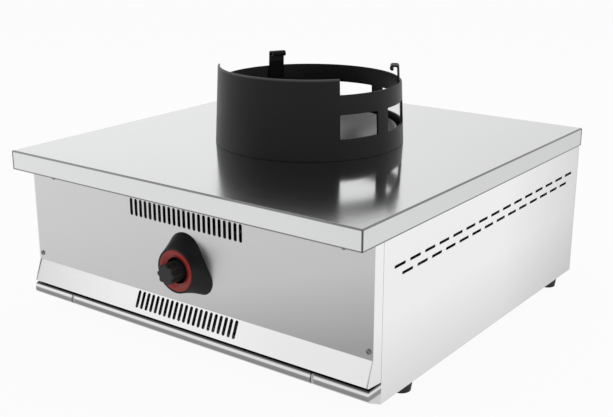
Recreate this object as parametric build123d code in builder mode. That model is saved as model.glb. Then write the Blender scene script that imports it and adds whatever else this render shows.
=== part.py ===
from build123d import *
import math
import os

os.makedirs("parts", exist_ok=True)

# A table-top gas wok range with one burner.
# Frame: +X to the user's right, -Y the front, +Z up, floor at Z = 0. All sizes in millimetres.

# ---------------------------------------------------------------- driving sizes
# Worktop: one polished sheet with its four edges turned down.
worktop_width = 600.0
worktop_depth = 620.0
worktop_height = 250.0        # floor to the polished surface
worktop_sheet = 1.5
lip_drop = 27.7               # height of the turned-down edge
edge_round = 2.0
burner_hole_radius = 100.0

# Spill bowl: bright collar on the worktop inside the wok ring, with a funnel down to the burner.
bowl_radius = 130.5
bowl_rim_height = 21.5
bowl_rim_width = 3.5
bowl_throat_radius = 62.0
bowl_throat_drop = 14.0
bowl_neck = 12.0
bowl_sheet = 1.5
bowl_bend = 1.8

# Casing under the worktop.
casing_inset = 2.0            # lip's outer face to the side panel's
panel_sheet = 1.5
side_setback = 49.0           # worktop's front lip to the side panels' front edge
back_lip_gap = 0.3            # lip to the back panel

# Ventilation slots in the sides and the back.
side_slot_length = 25.0
side_slot_width = 4.0
side_slot_round = 1.2
side_slot_pitch = 35.5
side_slot_margin = 22.0
side_slot_drop = 67.0         # worktop surface to the upper row
side_row_gap = 12.5
back_slot_margin = 60.0

# Channels under the worktop.
stiffener_reach = 150.0       # burner's axis to each channel's middle
stiffener_width = 30.0
stiffener_height = 22.0

# Angles that hold the fascia to the side panels.
angle_width = 52.0
angle_depth = 36.0
angle_low = 6.0               # fascia's lower edge to the angle's
angle_high = 20.0             # worktop's underside to the angle's top

# Front: fascia, flared vent panel, end caps and the folded bottom rail.
fascia_setback = 32.5         # worktop's front lip to the fascia's face
fascia_sheet = 1.5
fascia_foot_share = 0.267     # share of the casing's height below the fascia's lower edge
toe_setback = 21.0
toe_rise = 32.0               # casing bottom to the flare's toe
toe_return_fall = 2.5
toe_return_gap = 4.0          # returned edge to the side panels' front edge
vent_flange = 15.0            # vent panel's flange behind the fascia
vent_seam = 0.4
cap_seam = 0.5                # end cap's rear edge to the side panel
front_slot_width = 5.2
fascia_slot_length = 24.5
flare_slot_margin = 4.5       # slot's end to the flare's edges, on average
front_slot_pitch = 8.75
fascia_slot_count = 23
fascia_slot_drop = 54.5       # worktop surface to the middle of the upper slots
flare_slot_count = 21
flare_slot_rise = 2.3         # slots' middle above the flare's middle
rail_nose_setback = 20.3
rail_nose_low = 14.0          # casing bottom to the nose's lower corner
rail_nose_high = 28.0
rail_back_high = 28.5
rail_round = 6.0
rail_sheet = 1.5
rail_stub_length = 79.5
rail_slot_margin = 8.0        # edge of the slot under the rail to its nose, back and ends

# Drip tray, pulled out to the front.
tray_end_gap = 5.5            # tray front to each stub
tray_back_gap = 1.5
tray_sheet = 1.0
tray_wall = 22.0
tray_length = 526.0
tray_inset = 4.0              # tray front's end to the pan's side
tray_travel = 420.0
tray_corner = 8.0
guide_play = 1.0              # pan's side to its guide
guide_sheet = 1.2
guide_foot = 20.0
guide_wall = 18.0
slide_gap = 0.5               # running clearance between sliding sheets
guide_length = 500.0
guide_setback = 11.0

# Feet.
foot_height = 14.0
foot_radius = 15.0
foot_taper = 2.0
foot_inset = 16.0             # side panel's face to the foot's axis
front_foot_setback = 122.0
rear_foot_margin = 52.0
foot_screw_radius = 3.0
foot_recess_radius = 8.0
foot_recess_depth = 6.0
foot_screw_head_radius = 6.0
foot_screw_head_height = 3.5
foot_screw_length = 18.0
foot_nut_radius = 5.8
foot_nut_thickness = 5.0

# Knob, its bezel and the gas tap behind the fascia.
knob_reach = 6.5              # knob's face in front of the worktop's lip
knob_drop = 120.5             # worktop surface to the knob's axis
knob_travel = 4.0
bezel_depth = 19.5
collar_radius = 31.0
bezel_apex_radius = 28.0
bezel_apex_rise = 20.0
bezel_corner_radius = 20.5
bezel_corner_reach = 27.0
bezel_corner_fall = 12.5
bezel_mouth_radius = 18.0     # hole in the ledge that carries the ring
bezel_ledge = 2.5
bezel_well_radius = 22.0      # behind the ledge
bezel_floor = 3.0
ring_inlay_radius = 28.3
ring_inlay_depth = 3.5
ring_inlay_proud = 1.0
ring_inlay_gap = 0.2
grip_radius = 12.2
grip_lobe_radius = 3.4
grip_lobe_reach = 11.1
grip_lobes = 8
knob_length = 31.0            # grip and hub
hub_radius = 14.0
hub_length = 14.5             # part of the knob inside the bezel
spindle_radius = 4.0
spindle_in_grip = 16.0
knob_bore_gap = 0.05
spindle_hole_gap = 3.0        # radial room round the spindle in the fascia and the bezel
tap_setback = 56.0            # worktop's lip to the tap's front face
tap_width = 36.0
tap_height = 34.0
tap_length = 52.0
tap_bore_depth = 42.0         # from the tap's front face
plug_radius = 8.0
plug_setback = 0.5            # tap's front face to the plug's
plug_length = 40.5
rotor_gap = 0.05              # radial running clearance of the plug and of the spindle
spindle_end_gap = 13.0        # spindle's end to the plug's
push_rod_radius = 2.4
push_rod_gap = 0.1
push_rod_end = 5.0            # rod beyond the tap, at rest
supply_port_radius = 5.0
feed_port_radius = 3.5
pilot_port_radius = 1.2
magnet_radius = 9.0
magnet_length = 16.0
magnet_wall = 3.0
bracket_sheet = 1.5
bracket_half_width = 33.0
bracket_height = 36.0
bracket_foot = 9.0
bracket_hole_gap = 2.5        # radial room round the spindle

# Gas line.
inlet_reach = 22.0            # thread's end behind the back panel
inlet_thread_radius = 10.4775  # G 1/2 male thread, crests
inlet_thread_length = 14.0    # free thread beyond the locknut
inlet_shank_radius = 10.2     # under the locknut
inlet_hex_radius = 15.0
inlet_hex_thickness = 6.0
inlet_inner_length = 17.0
inlet_bore_radius = 6.0
locknut_thickness = 6.0
inlet_hole_gap = 0.3
inlet_inset = 53.0            # side panel's face to the inlet's axis
supply_pipe_radius = 7.0
supply_pipe_wall = 1.0
supply_bend = 28.0
feed_pipe_radius = 5.0
feed_bend = 18.0
feed_port_back = 32.0         # tap's front face to the outlet's axis
supply_port_back = 24.0
pilot_port_back = 38.0
pilot_pipe_radius = 2.0
pilot_bend = 9.0
lead_radius = 1.5
lead_bend = 14.0
port_boss = 6.0
nut_thickness = 9.0
pipe_nut_share = 1.7          # nut's corner radius over its pipe's radius
clip_width = 14.0
clip_sheet = 1.5
clip_front_setback = 180.0
clip_rear_margin = 130.0

# Burner.
bridge_drop = 84.0            # worktop surface to the bridge's top
bridge_half_width = 32.0
bridge_flange = 18.0
bridge_sheet = 2.0
cup_radius = 46.0
cup_wall = 5.0
cup_drop = 14.0               # worktop surface to the cup's rim
cup_depth = 30.0
neck_radius = 20.0
neck_height = 14.0
seat_radius = 28.0
seat_thickness = 6.0
stem_radius = 15.5
stem_bore = 12.0
stem_length = 56.0            # below the bridge's top
stem_hole_gap = 1.0
crown_stand = 2.0             # crown's top above the worktop
crown_top = 8.0
crown_dome = 5.0
crown_flat_radius = 30.0
crown_skirt = 8.0
crown_skirt_wall = 3.2
crown_gap = 0.4
port_count = 24
port_width = 3.0
port_height = 5.0
port_round = 1.0
shutter_wall = 3.5
shutter_grip = 15.0           # shutter's overlap with the stem
shutter_window = 14.0
shutter_floor = 2.0
shutter_gap = 0.1
injector_radius = 6.0
injector_length = 18.0
injector_jet_radius = 3.0
injector_jet_length = 6.0
elbow_size = 22.0
elbow_height = 18.0
elbow_round = 2.75
pilot_azimuth = 235.0
sensor_azimuth = 262.0
pilot_reach = 54.0            # burner's axis to the pilot's
pilot_radius = 4.5
pilot_chamfer = 1.5
pilot_foot_drop = 74.0
pilot_top_drop = 7.0
sensor_radius = 3.0
sensor_tip_round = 2.4
pilot_plate_drop = 70.0
pilot_plate_sheet = 1.5
pilot_plate_margin = 9.0

# Wok ring, standing loose on the worktop.
ring_bowl_gap = 6.0           # spill bowl to the ring's foot
ring_lean_in = 5.5            # outer radius at the foot less that at the shield's top
ring_wall = 3.0
shield_height = 112.5
rim_height = 90.5
shield_half_angle = 54.0
window_low = 30.0
window_high = 63.5
window_pitch = 40.0
post_count = 6
post_angle = 9.5
first_post = -5.0             # azimuth of the first post's middle
lug_angle = 10.6
lug_height = 114.0
lug_foot = 66.0
lug_reach = 13.0
lug_tip = 8.5
lug_sheet = 2.5
lug_bend = 2.4
lug_gap = 0.1                 # weld gap between a tab and the wall
lug_azimuths = (30.0, 150.0)

# Screws.
screw_radius = 2.0
screw_head_radius = 3.6
screw_head_height = 2.2
head_dome = 0.7               # share of a head's height that is rounded
screw_hole_gap = 0.15
fascia_screw_inset = 8.0
fascia_screw_rise = 10.5      # fascia's lower edge to the screws
upper_screw_inset = 45.0
upper_screw_drop = 39.5       # worktop surface to the upper row of screws
back_screw_inset = 12.0
screw_length = 6.0
tap_screw_reach = 13.5
tap_screw_depth = 8.0

# ---------------------------------------------------------------- places worked out from the sizes
overall_depth = knob_reach + worktop_depth + inlet_reach
lip_y = knob_reach - overall_depth / 2
rear_y = lip_y + worktop_depth
middle_y = lip_y + worktop_depth / 2
casing_half = worktop_width / 2 - casing_inset
casing_bottom = foot_height
panel_top = worktop_height - worktop_sheet
side_front_y = lip_y + side_setback
back_inner_y = rear_y - panel_sheet
fascia_y = lip_y + fascia_setback
fascia_back_y = fascia_y + fascia_sheet
fascia_low = casing_bottom + fascia_foot_share * (worktop_height - casing_bottom)
fascia_half = casing_half - fascia_sheet
knob_z = worktop_height - knob_drop
inlet_x = casing_half - inlet_inset
inlet_hole_radius = inlet_thread_radius + inlet_hole_gap
screw_hole_radius = screw_radius + screw_hole_gap
fascia_screw_x = casing_half - fascia_screw_inset
fascia_screw_z = fascia_low + fascia_screw_rise
upper_screw_x = casing_half - upper_screw_inset
upper_screw_z = worktop_height - upper_screw_drop
lower_screw_places = [(sx * fascia_screw_x, fascia_screw_z) for sx in (-1, 1)]
fascia_screw_places = lower_screw_places + [(sx * upper_screw_x, upper_screw_z) for sx in (-1, 0, 1)]
foot_x = casing_half - foot_inset
foot_rows = (lip_y + front_foot_setback, rear_y - rear_foot_margin)
ring_axis = Axis((0, middle_y, 0), (0, 0, 1))


def across(x):
    """Plane at x that reads (Y, Z) and grows towards +X."""
    return Plane.YZ.offset(x)


def facing(y):
    """Plane at y that reads (X, Z) and grows towards the user, -Y."""
    return Plane.XZ.offset(-y)


def level(z):
    """Plane at height z that reads (X, Y)."""
    return Plane.XY.offset(z)


def radial(azimuth, z=0.0):
    """Plane through the burner's axis that reads (radius, Z) at an azimuth."""
    turn = math.radians(azimuth)
    return Plane(
        origin=(0, middle_y, z),
        x_dir=(math.cos(turn), math.sin(turn), 0),
        z_dir=(math.sin(turn), -math.cos(turn), 0),
    )


def outward(azimuth, z):
    """Plane through the burner's axis at height z whose normal points out along an azimuth."""
    turn = math.radians(azimuth)
    return Plane(
        origin=(0, middle_y, z),
        x_dir=(-math.sin(turn), math.cos(turn), 0),
        z_dir=(math.cos(turn), math.sin(turn), 0),
    )


def set_in(path, thickness):
    """The same path, set to its right by the sheet's thickness, with mitred corners."""
    normals = []
    for (u0, v0), (u1, v1) in zip(path, path[1:]):
        run = math.hypot(u1 - u0, v1 - v0)
        normals.append(((v1 - v0) / run, (u0 - u1) / run))
    moved = []
    for i, (u, v) in enumerate(path):
        before = normals[max(i - 1, 0)]
        after = normals[min(i, len(normals) - 1)]
        mitre = thickness / (1 + before[0] * after[0] + before[1] * after[1])
        moved.append((u + (before[0] + after[0]) * mitre, v + (before[1] + after[1]) * mitre))
    return moved


def sheet_outline(path, thickness):
    """Closed outline of folded sheet whose outer face follows the path."""
    return list(path) + set_in(path, thickness)[::-1]


def keep(builder, name):
    """Label a finished piece and write it."""
    builder.part.label = name
    export_step(builder.part, "parts/" + name + ".step")


# ---------------------------------------------------------------- worktop
# A pan of polished sheet with a round hole for the burner.
with BuildPart() as worktop:
    with BuildSketch(level(worktop_height - lip_drop)):
        with Locations((0, middle_y)):
            Rectangle(worktop_width, worktop_depth)
    extrude(amount=lip_drop)
    fillet(worktop.faces().sort_by(Axis.Z)[-1].edges(), edge_round)
    with BuildSketch(level(worktop_height - lip_drop)):
        with Locations((0, middle_y)):
            Rectangle(worktop_width - 2 * worktop_sheet, worktop_depth - 2 * worktop_sheet)
    extrude(amount=lip_drop - worktop_sheet, mode=Mode.SUBTRACT)
    with BuildSketch(level(worktop_height)):
        with Locations((0, middle_y)):
            Circle(burner_hole_radius)
    extrude(amount=-lip_drop, mode=Mode.SUBTRACT)
keep(worktop, "worktop")

# Two channels under the worktop that stiffen it in front of and behind the burner.
stiffener_half = casing_half - panel_sheet
for stiffener_name, run in (("front_stiffener", -1), ("rear_stiffener", 1)):
    stiffener_y = middle_y + run * stiffener_reach
    stiffener_path = [
        (stiffener_y - stiffener_width / 2, panel_top - stiffener_height),
        (stiffener_y - stiffener_width / 2, panel_top),
        (stiffener_y + stiffener_width / 2, panel_top),
        (stiffener_y + stiffener_width / 2, panel_top - stiffener_height),
    ]
    with BuildPart() as stiffener:
        with BuildSketch(across(-stiffener_half)):
            with BuildLine():
                Polyline(*sheet_outline(stiffener_path, panel_sheet), close=True)
            make_face()
        extrude(amount=2 * stiffener_half)
    keep(stiffener, stiffener_name)

# ---------------------------------------------------------------- spill bowl
# One spun sheet: upright collar, rounded rim, funnel and neck. It stands on the worktop.
bowl_rim_z = worktop_height + bowl_rim_height
bowl_path = [
    (bowl_throat_radius, worktop_height - bowl_throat_drop - bowl_neck),
    (bowl_throat_radius, worktop_height - bowl_throat_drop),
    (bowl_radius - bowl_rim_width, bowl_rim_z),
    (bowl_radius, bowl_rim_z),
    (bowl_radius, worktop_height),
]
with BuildPart() as spill_bowl:
    with BuildSketch(radial(0)) as bowl_section:
        with BuildLine():
            Polyline(*sheet_outline(bowl_path, bowl_sheet), close=True)
        make_face()
        fillet(bowl_section.vertices().group_by(Axis.Y)[-1], bowl_bend)
    revolve(axis=ring_axis)
keep(spill_bowl, "spill_bowl")

# ---------------------------------------------------------------- side panels
# Flat sheets with two staggered rows of slots under the worktop's lip.
side_length = back_inner_y - side_front_y
side_middle_y = (side_front_y + back_inner_y) / 2
side_slot_count = int((side_length - 2 * side_slot_margin - side_slot_length) // side_slot_pitch) + 1
side_slot_z = worktop_height - side_slot_drop
for side_name, side in (("left_side_panel", -1), ("right_side_panel", 1)):
    with BuildPart() as side_panel:
        with BuildSketch(across(side * casing_half)):
            with Locations((side_middle_y, (casing_bottom + panel_top) / 2)):
                Rectangle(side_length, panel_top - casing_bottom)
            with Locations((side_middle_y, side_slot_z)):
                with GridLocations(side_slot_pitch, 1, side_slot_count, 1):
                    RectangleRounded(side_slot_length, side_slot_width, side_slot_round, mode=Mode.SUBTRACT)
            with Locations((side_middle_y, side_slot_z - side_row_gap)):
                with GridLocations(side_slot_pitch, 1, side_slot_count - 1, 1):
                    RectangleRounded(side_slot_length, side_slot_width, side_slot_round, mode=Mode.SUBTRACT)
        extrude(amount=-side * panel_sheet)
    keep(side_panel, side_name)

# ---------------------------------------------------------------- back panel
# Closes the rear below the lip and carries the gas inlet; screwed at its ends.
back_top = worktop_height - lip_drop - back_lip_gap
back_slot_count = int((2 * casing_half - 2 * back_slot_margin - side_slot_length) // side_slot_pitch) + 1
back_screw_rows = (casing_bottom + back_screw_inset, back_top - back_screw_inset)
back_screw_x = casing_half - back_screw_inset
with BuildPart() as back_panel:
    with BuildSketch(facing(rear_y)):
        with Locations((0, (casing_bottom + back_top) / 2)):
            Rectangle(2 * casing_half, back_top - casing_bottom)
        with Locations((0, side_slot_z), (0, side_slot_z - side_row_gap)):
            with GridLocations(side_slot_pitch, 1, back_slot_count, 1):
                RectangleRounded(side_slot_length, side_slot_width, side_slot_round, mode=Mode.SUBTRACT)
        with Locations((inlet_x, knob_z)):
            Circle(inlet_hole_radius, mode=Mode.SUBTRACT)
        with Locations(*[(sx * back_screw_x, z) for sx in (-1, 1) for z in back_screw_rows]):
            Circle(screw_hole_radius, mode=Mode.SUBTRACT)
    extrude(amount=panel_sheet)
keep(back_panel, "back_panel")

# ---------------------------------------------------------------- base panel
with BuildPart() as base_panel:
    with BuildSketch(level(casing_bottom)):
        with Locations((0, side_middle_y)):
            Rectangle(2 * (casing_half - panel_sheet), side_length - 2 * tray_sheet)
        with Locations(*[(sx * foot_x, y) for sx in (-1, 1) for y in foot_rows]):
            Circle(foot_screw_radius + screw_hole_gap, mode=Mode.SUBTRACT)
    extrude(amount=panel_sheet)
keep(base_panel, "base_panel")

# ---------------------------------------------------------------- fascia
# Flat brushed sheet behind the lip, with 23 upright slots above the knob.
with BuildPart() as front_fascia:
    with BuildSketch(facing(fascia_back_y)):
        with Locations((0, (fascia_low + panel_top) / 2)):
            Rectangle(2 * fascia_half, panel_top - fascia_low)
        with Locations((0, worktop_height - fascia_slot_drop)):
            with GridLocations(front_slot_pitch, 1, fascia_slot_count, 1):
                SlotOverall(fascia_slot_length, front_slot_width, rotation=90, mode=Mode.SUBTRACT)
        with Locations((0, knob_z)):
            Circle(spindle_radius + spindle_hole_gap, mode=Mode.SUBTRACT)
        with Locations(*fascia_screw_places):
            Circle(screw_hole_radius, mode=Mode.SUBTRACT)
    extrude(amount=fascia_sheet)
keep(front_fascia, "front_fascia")

# ---------------------------------------------------------------- lower vent panel
# Folded sheet: a flange behind the fascia, the flare with its 21 slots, and a return under the toe.
toe = (lip_y + toe_setback, casing_bottom + toe_rise)
toe_return = (side_front_y - toe_return_gap, casing_bottom + toe_rise - toe_return_fall)
vent_path = [toe_return, toe, (fascia_back_y, fascia_low), (fascia_back_y, fascia_low + vent_flange)]
flare_run = (fascia_back_y - toe[0], fascia_low - toe[1])
flare_length = math.hypot(*flare_run)
flare_share = flare_slot_rise / flare_length
flare_middle = (
    (fascia_back_y + toe[0]) / 2 + flare_run[0] * flare_share,
    (fascia_low + toe[1]) / 2 + flare_run[1] * flare_share,
)
flare_plane = Plane(
    origin=(0, flare_middle[0], flare_middle[1]),
    x_dir=(1, 0, 0),
    z_dir=(0, -flare_run[1] / flare_length, flare_run[0] / flare_length),
)
with BuildPart() as lower_vent_panel:
    with BuildSketch(across(-fascia_half + vent_seam)):
        with BuildLine():
            Polyline(*sheet_outline(vent_path, fascia_sheet), close=True)
        make_face()
    extrude(amount=2 * (fascia_half - vent_seam))
    with BuildSketch(flare_plane):
        with GridLocations(front_slot_pitch, 1, flare_slot_count, 1):
            SlotOverall(flare_length - 2 * flare_slot_margin, front_slot_width, rotation=90)
    extrude(amount=2 * fascia_sheet, both=True, mode=Mode.SUBTRACT)
    with BuildSketch(facing(fascia_back_y)):
        with Locations(*lower_screw_places):
            Circle(screw_hole_radius)
    extrude(amount=-2 * fascia_sheet, mode=Mode.SUBTRACT)
keep(lower_vent_panel, "lower_vent_panel")

# ---------------------------------------------------------------- end caps of the front
# Bright plates that close the ends between the fascia and the side panels.
cap_outline = [
    (fascia_y, panel_top),
    (fascia_y, fascia_low),
    toe,
    (side_front_y - cap_seam, toe_return[1]),
    (side_front_y - cap_seam, panel_top),
]
for cap_name, side in (("left_end_cap", -1), ("right_end_cap", 1)):
    with BuildPart() as end_cap:
        with BuildSketch(across(side * casing_half)):
            with BuildLine():
                Polyline(*cap_outline, close=True)
            make_face()
        extrude(amount=-side * fascia_sheet)
    keep(end_cap, cap_name)

# ---------------------------------------------------------------- bottom rail
# The rail's folded section is shared by its two fixed stubs and by the tray's front.
rail_low = (side_front_y, casing_bottom)
rail_path = [
    rail_low,
    (lip_y + rail_nose_setback, casing_bottom + rail_nose_low),
    (lip_y + rail_nose_setback, casing_bottom + rail_nose_high),
    (side_front_y, casing_bottom + rail_back_high),
]
rail_inside = set_in(rail_path, rail_sheet)
rail_nose_y = lip_y + rail_nose_setback


def along(start, end, y):
    """Point of the line from start to end, read as (Y, Z), at a depth y."""
    share = (y - start[0]) / (end[0] - start[0])
    return (y, start[1] + (end[1] - start[1]) * share)


def rail_profile(path, back_y):
    """The rail's closed section, cut off upright at its back."""
    low, nose_low, nose_high, high = path
    return [along(nose_low, low, back_y), nose_low, nose_high, along(nose_high, high, back_y)]


def folded_rail(x_start, length, back_y):
    """Rail length with closed ends and back, slotted underneath, as a part builder."""
    with BuildPart() as rail:
        with BuildSketch(across(x_start)) as section:
            with BuildLine():
                Polyline(*rail_profile(rail_path, back_y), close=True)
            make_face()
            fillet(section.vertices().sort_by(Axis.X)[:2], rail_round)
        extrude(amount=length)
        with BuildSketch(across(x_start + rail_sheet)) as hollow:
            with BuildLine():
                Polyline(*rail_profile(rail_inside, back_y - rail_sheet), close=True)
            make_face()
            fillet(hollow.vertices().sort_by(Axis.X)[:2], rail_round - rail_sheet)
        extrude(amount=length - 2 * rail_sheet, mode=Mode.SUBTRACT)
        with BuildSketch(level(casing_bottom - rail_sheet)):
            with Locations((x_start + length / 2, (rail_nose_y + back_y) / 2)):
                Rectangle(length - 2 * rail_slot_margin, back_y - rail_nose_y - 2 * rail_slot_margin)
        extrude(amount=rail_nose_low, mode=Mode.SUBTRACT)
    return rail


keep(folded_rail(-casing_half, rail_stub_length, side_front_y), "left_rail_stub")
keep(folded_rail(casing_half - rail_stub_length, rail_stub_length, side_front_y), "right_rail_stub")

# ---------------------------------------------------------------- drip tray and its guides
bay_half = casing_half - rail_stub_length
tray_right = bay_half - tray_end_gap
tray_left = -tray_right
tray_back_y = side_front_y - tray_back_gap
pan_left = tray_left + tray_inset
pan_right = tray_right - tray_inset
pan_middle = (pan_left + pan_right) / 2
base_top = casing_bottom + panel_sheet
pan_low = base_top + slide_gap
pan_middle_y = tray_back_y + tray_length / 2
keep(folded_rail(tray_left, tray_right - tray_left, tray_back_y), "tray_front")

with BuildPart() as drip_tray_pan:
    with BuildSketch(level(pan_low)):
        with Locations((pan_middle, pan_middle_y)):
            Rectangle(pan_right - pan_left, tray_length)
    extrude(amount=tray_wall)
    fillet(drip_tray_pan.edges().filter_by(Axis.Z).group_by(Axis.Y)[-1], tray_corner)
    with BuildSketch(level(pan_low + tray_sheet)) as pan_inside:
        with Locations((pan_middle, pan_middle_y)):
            Rectangle(pan_right - pan_left - 2 * tray_sheet, tray_length - 2 * tray_sheet)
        fillet(pan_inside.vertices(), tray_corner - tray_sheet)
    extrude(amount=tray_wall, mode=Mode.SUBTRACT)
keep(drip_tray_pan, "drip_tray_pan")

guide_x = pan_right + guide_play
guide_front_y = side_front_y + guide_setback
for guide_name, side in (("left_tray_guide", -1), ("right_tray_guide", 1)):
    guide_path = [
        (side * (guide_x + guide_foot), base_top),
        (side * guide_x, base_top),
        (side * guide_x, base_top + guide_wall),
    ]
    with BuildPart() as tray_guide:
        with BuildSketch(facing(guide_front_y + guide_length)):
            with BuildLine():
                Polyline(*sheet_outline(guide_path, side * guide_sheet), close=True)
            make_face()
        extrude(amount=guide_length)
    keep(tray_guide, guide_name)

# ---------------------------------------------------------------- feet
# Black rubber feet, each held by a screw in its recess.
foot_places = (
    ("front_left_foot", -foot_x, foot_rows[0]),
    ("front_right_foot", foot_x, foot_rows[0]),
    ("rear_left_foot", -foot_x, foot_rows[1]),
    ("rear_right_foot", foot_x, foot_rows[1]),
)
for foot_name, x, y in foot_places:
    with BuildPart() as foot:
        with BuildSketch(level(0)):
            with Locations((x, y)):
                Circle(foot_radius - foot_taper)
        with BuildSketch(level(foot_height)):
            with Locations((x, y)):
                Circle(foot_radius)
        loft()
        with BuildSketch(level(0)):
            with Locations((x, y)):
                Circle(foot_recess_radius)
        extrude(amount=foot_recess_depth, mode=Mode.SUBTRACT)
        with BuildSketch(level(0)):
            with Locations((x, y)):
                Circle(foot_screw_radius + screw_hole_gap)
        extrude(amount=foot_height, mode=Mode.SUBTRACT)
    keep(foot, foot_name)

# ---------------------------------------------------------------- knob bezel
# Moulded black cover: a rounded triangle on the fascia that rises to a round collar.
bezel_front_y = fascia_y - bezel_depth
ring_seat_y = bezel_front_y + ring_inlay_depth
well_floor_y = fascia_y - bezel_floor
with BuildPart() as knob_bezel:
    with BuildSketch(facing(fascia_y)):
        with Locations((0, knob_z + bezel_apex_rise)):
            Circle(bezel_apex_radius)
        with Locations(*[(sx * bezel_corner_reach, knob_z - bezel_corner_fall) for sx in (-1, 1)]):
            Circle(bezel_corner_radius)
        make_hull()
    with BuildSketch(facing(bezel_front_y)):
        with Locations((0, knob_z)):
            Circle(collar_radius)
    loft()
    with BuildSketch(facing(bezel_front_y)):
        with Locations((0, knob_z)):
            Circle(ring_inlay_radius + ring_inlay_gap)
    extrude(amount=-ring_inlay_depth, mode=Mode.SUBTRACT)
    with BuildSketch(facing(ring_seat_y)):
        with Locations((0, knob_z)):
            Circle(bezel_mouth_radius)
    extrude(amount=-bezel_ledge, mode=Mode.SUBTRACT)
    with BuildSketch(facing(well_floor_y)):
        with Locations((0, knob_z)):
            Circle(bezel_well_radius)
    extrude(amount=well_floor_y - ring_seat_y - bezel_ledge, mode=Mode.SUBTRACT)
    with BuildSketch(facing(bezel_front_y)):
        with Locations((0, knob_z)):
            Circle(spindle_radius + spindle_hole_gap)
    extrude(amount=-bezel_depth, mode=Mode.SUBTRACT)
keep(knob_bezel, "knob_bezel")

# ---------------------------------------------------------------- red ring round the knob
# Glossy moulded ring pressed into the collar; its inner flank slopes down into the well.
ring_front_y = bezel_front_y - ring_inlay_proud
knob_axis = Axis((0, 0, knob_z), (0, 1, 0))
with BuildPart() as bezel_ring:
    with BuildSketch(level(knob_z)):
        with BuildLine():
            Polyline(
                (ring_inlay_radius, ring_seat_y),
                (ring_inlay_radius, bezel_front_y),
                (ring_inlay_radius - ring_inlay_proud, ring_front_y),
                ((ring_inlay_radius + bezel_mouth_radius) / 2 + ring_inlay_proud, ring_front_y),
                (bezel_mouth_radius + ring_inlay_gap, ring_seat_y - ring_inlay_proud),
                (bezel_mouth_radius + ring_inlay_gap, ring_seat_y),
                close=True,
            )
        make_face()
    revolve(axis=knob_axis)
keep(bezel_ring, "bezel_ring")

# ---------------------------------------------------------------- knob grip
# Lobed grip in front of the bezel, bored for the spindle.
grip_front_y = lip_y - knob_reach
hub_back_y = grip_front_y + knob_length
grip_back_y = hub_back_y - hub_length
spindle_front_y = hub_back_y - spindle_in_grip
with BuildPart() as knob_grip:
    with BuildSketch(facing(grip_back_y)):
        with Locations((0, knob_z)):
            Circle(grip_radius)
            with PolarLocations(grip_lobe_reach, grip_lobes):
                Circle(grip_lobe_radius)
    extrude(amount=knob_length - hub_length)
    chamfer(knob_grip.faces().sort_by(Axis.Y)[0].edges(), ring_inlay_proud)
    with BuildSketch(facing(spindle_front_y)):
        with Locations((0, knob_z)):
            Circle(spindle_radius + knob_bore_gap)
    extrude(amount=-spindle_in_grip, mode=Mode.SUBTRACT)
keep(knob_grip, "knob_grip")

# Round hub behind the grip, inside the bezel's well.
with BuildPart() as knob_hub:
    with BuildSketch(facing(hub_back_y)):
        with Locations((0, knob_z)):
            Circle(hub_radius)
            Circle(spindle_radius + knob_bore_gap, mode=Mode.SUBTRACT)
    extrude(amount=hub_length)
keep(knob_hub, "knob_hub")

# ---------------------------------------------------------------- gas valve
# Brass block with a bore for the plug and ports for its three pipes.
tap_y = lip_y + tap_setback
tap_back_y = tap_y + tap_length
bore_end_y = tap_y + tap_bore_depth
supply_port_y = tap_y + supply_port_back
feed_port_y = tap_y + feed_port_back
pilot_port_y = tap_y + pilot_port_back
with BuildPart() as valve_body:
    with BuildSketch(facing(tap_y)):
        with Locations((0, knob_z)):
            Rectangle(tap_width, tap_height)
    extrude(amount=-tap_length)
    with BuildSketch(across(tap_width / 2)):
        with Locations((supply_port_y, knob_z)):
            Circle(supply_pipe_radius + supply_pipe_wall)
    extrude(amount=port_boss)
    with BuildSketch(across(-tap_width / 2)):
        with Locations((pilot_port_y, knob_z)):
            Circle(2 * pilot_pipe_radius)
    extrude(amount=-port_boss)
    with BuildSketch(level(knob_z - tap_height / 2)):
        with Locations((0, feed_port_y)):
            Circle(feed_pipe_radius + supply_pipe_wall)
    extrude(amount=-port_boss)
    with BuildSketch(facing(tap_y)):
        with Locations((0, knob_z)):
            Circle(plug_radius + rotor_gap)
    extrude(amount=-tap_bore_depth, mode=Mode.SUBTRACT)
    with BuildSketch(facing(tap_y)):
        with Locations((0, knob_z)):
            Circle(push_rod_radius + push_rod_gap)
    extrude(amount=-tap_length, mode=Mode.SUBTRACT)
    with BuildSketch(across(0)):
        with Locations((supply_port_y, knob_z)):
            Circle(supply_port_radius)
    extrude(amount=tap_width, mode=Mode.SUBTRACT)
    with BuildSketch(across(0)):
        with Locations((pilot_port_y, knob_z)):
            Circle(pilot_port_radius)
    extrude(amount=-tap_width, mode=Mode.SUBTRACT)
    with BuildSketch(level(knob_z)):
        with Locations((0, feed_port_y)):
            Circle(feed_port_radius)
    extrude(amount=-tap_height, mode=Mode.SUBTRACT)
    with BuildSketch(facing(tap_y)):
        with Locations(*[(sx * tap_screw_reach, knob_z + sz * tap_screw_reach)
                         for sx, sz in ((-1, 1), (1, -1))]):
            Circle(screw_hole_radius)
    extrude(amount=-tap_screw_depth, mode=Mode.SUBTRACT)
keep(valve_body, "valve_body")

# Plug that the knob turns; the spindle slides in its bore.
plug_front_y = tap_y + plug_setback
plug_back_y = plug_front_y + plug_length
with BuildPart() as valve_plug:
    with BuildSketch(facing(plug_back_y)):
        with Locations((0, knob_z)):
            Circle(plug_radius)
            Circle(spindle_radius + rotor_gap, mode=Mode.SUBTRACT)
    extrude(amount=plug_length)
keep(valve_plug, "valve_plug")

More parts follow.
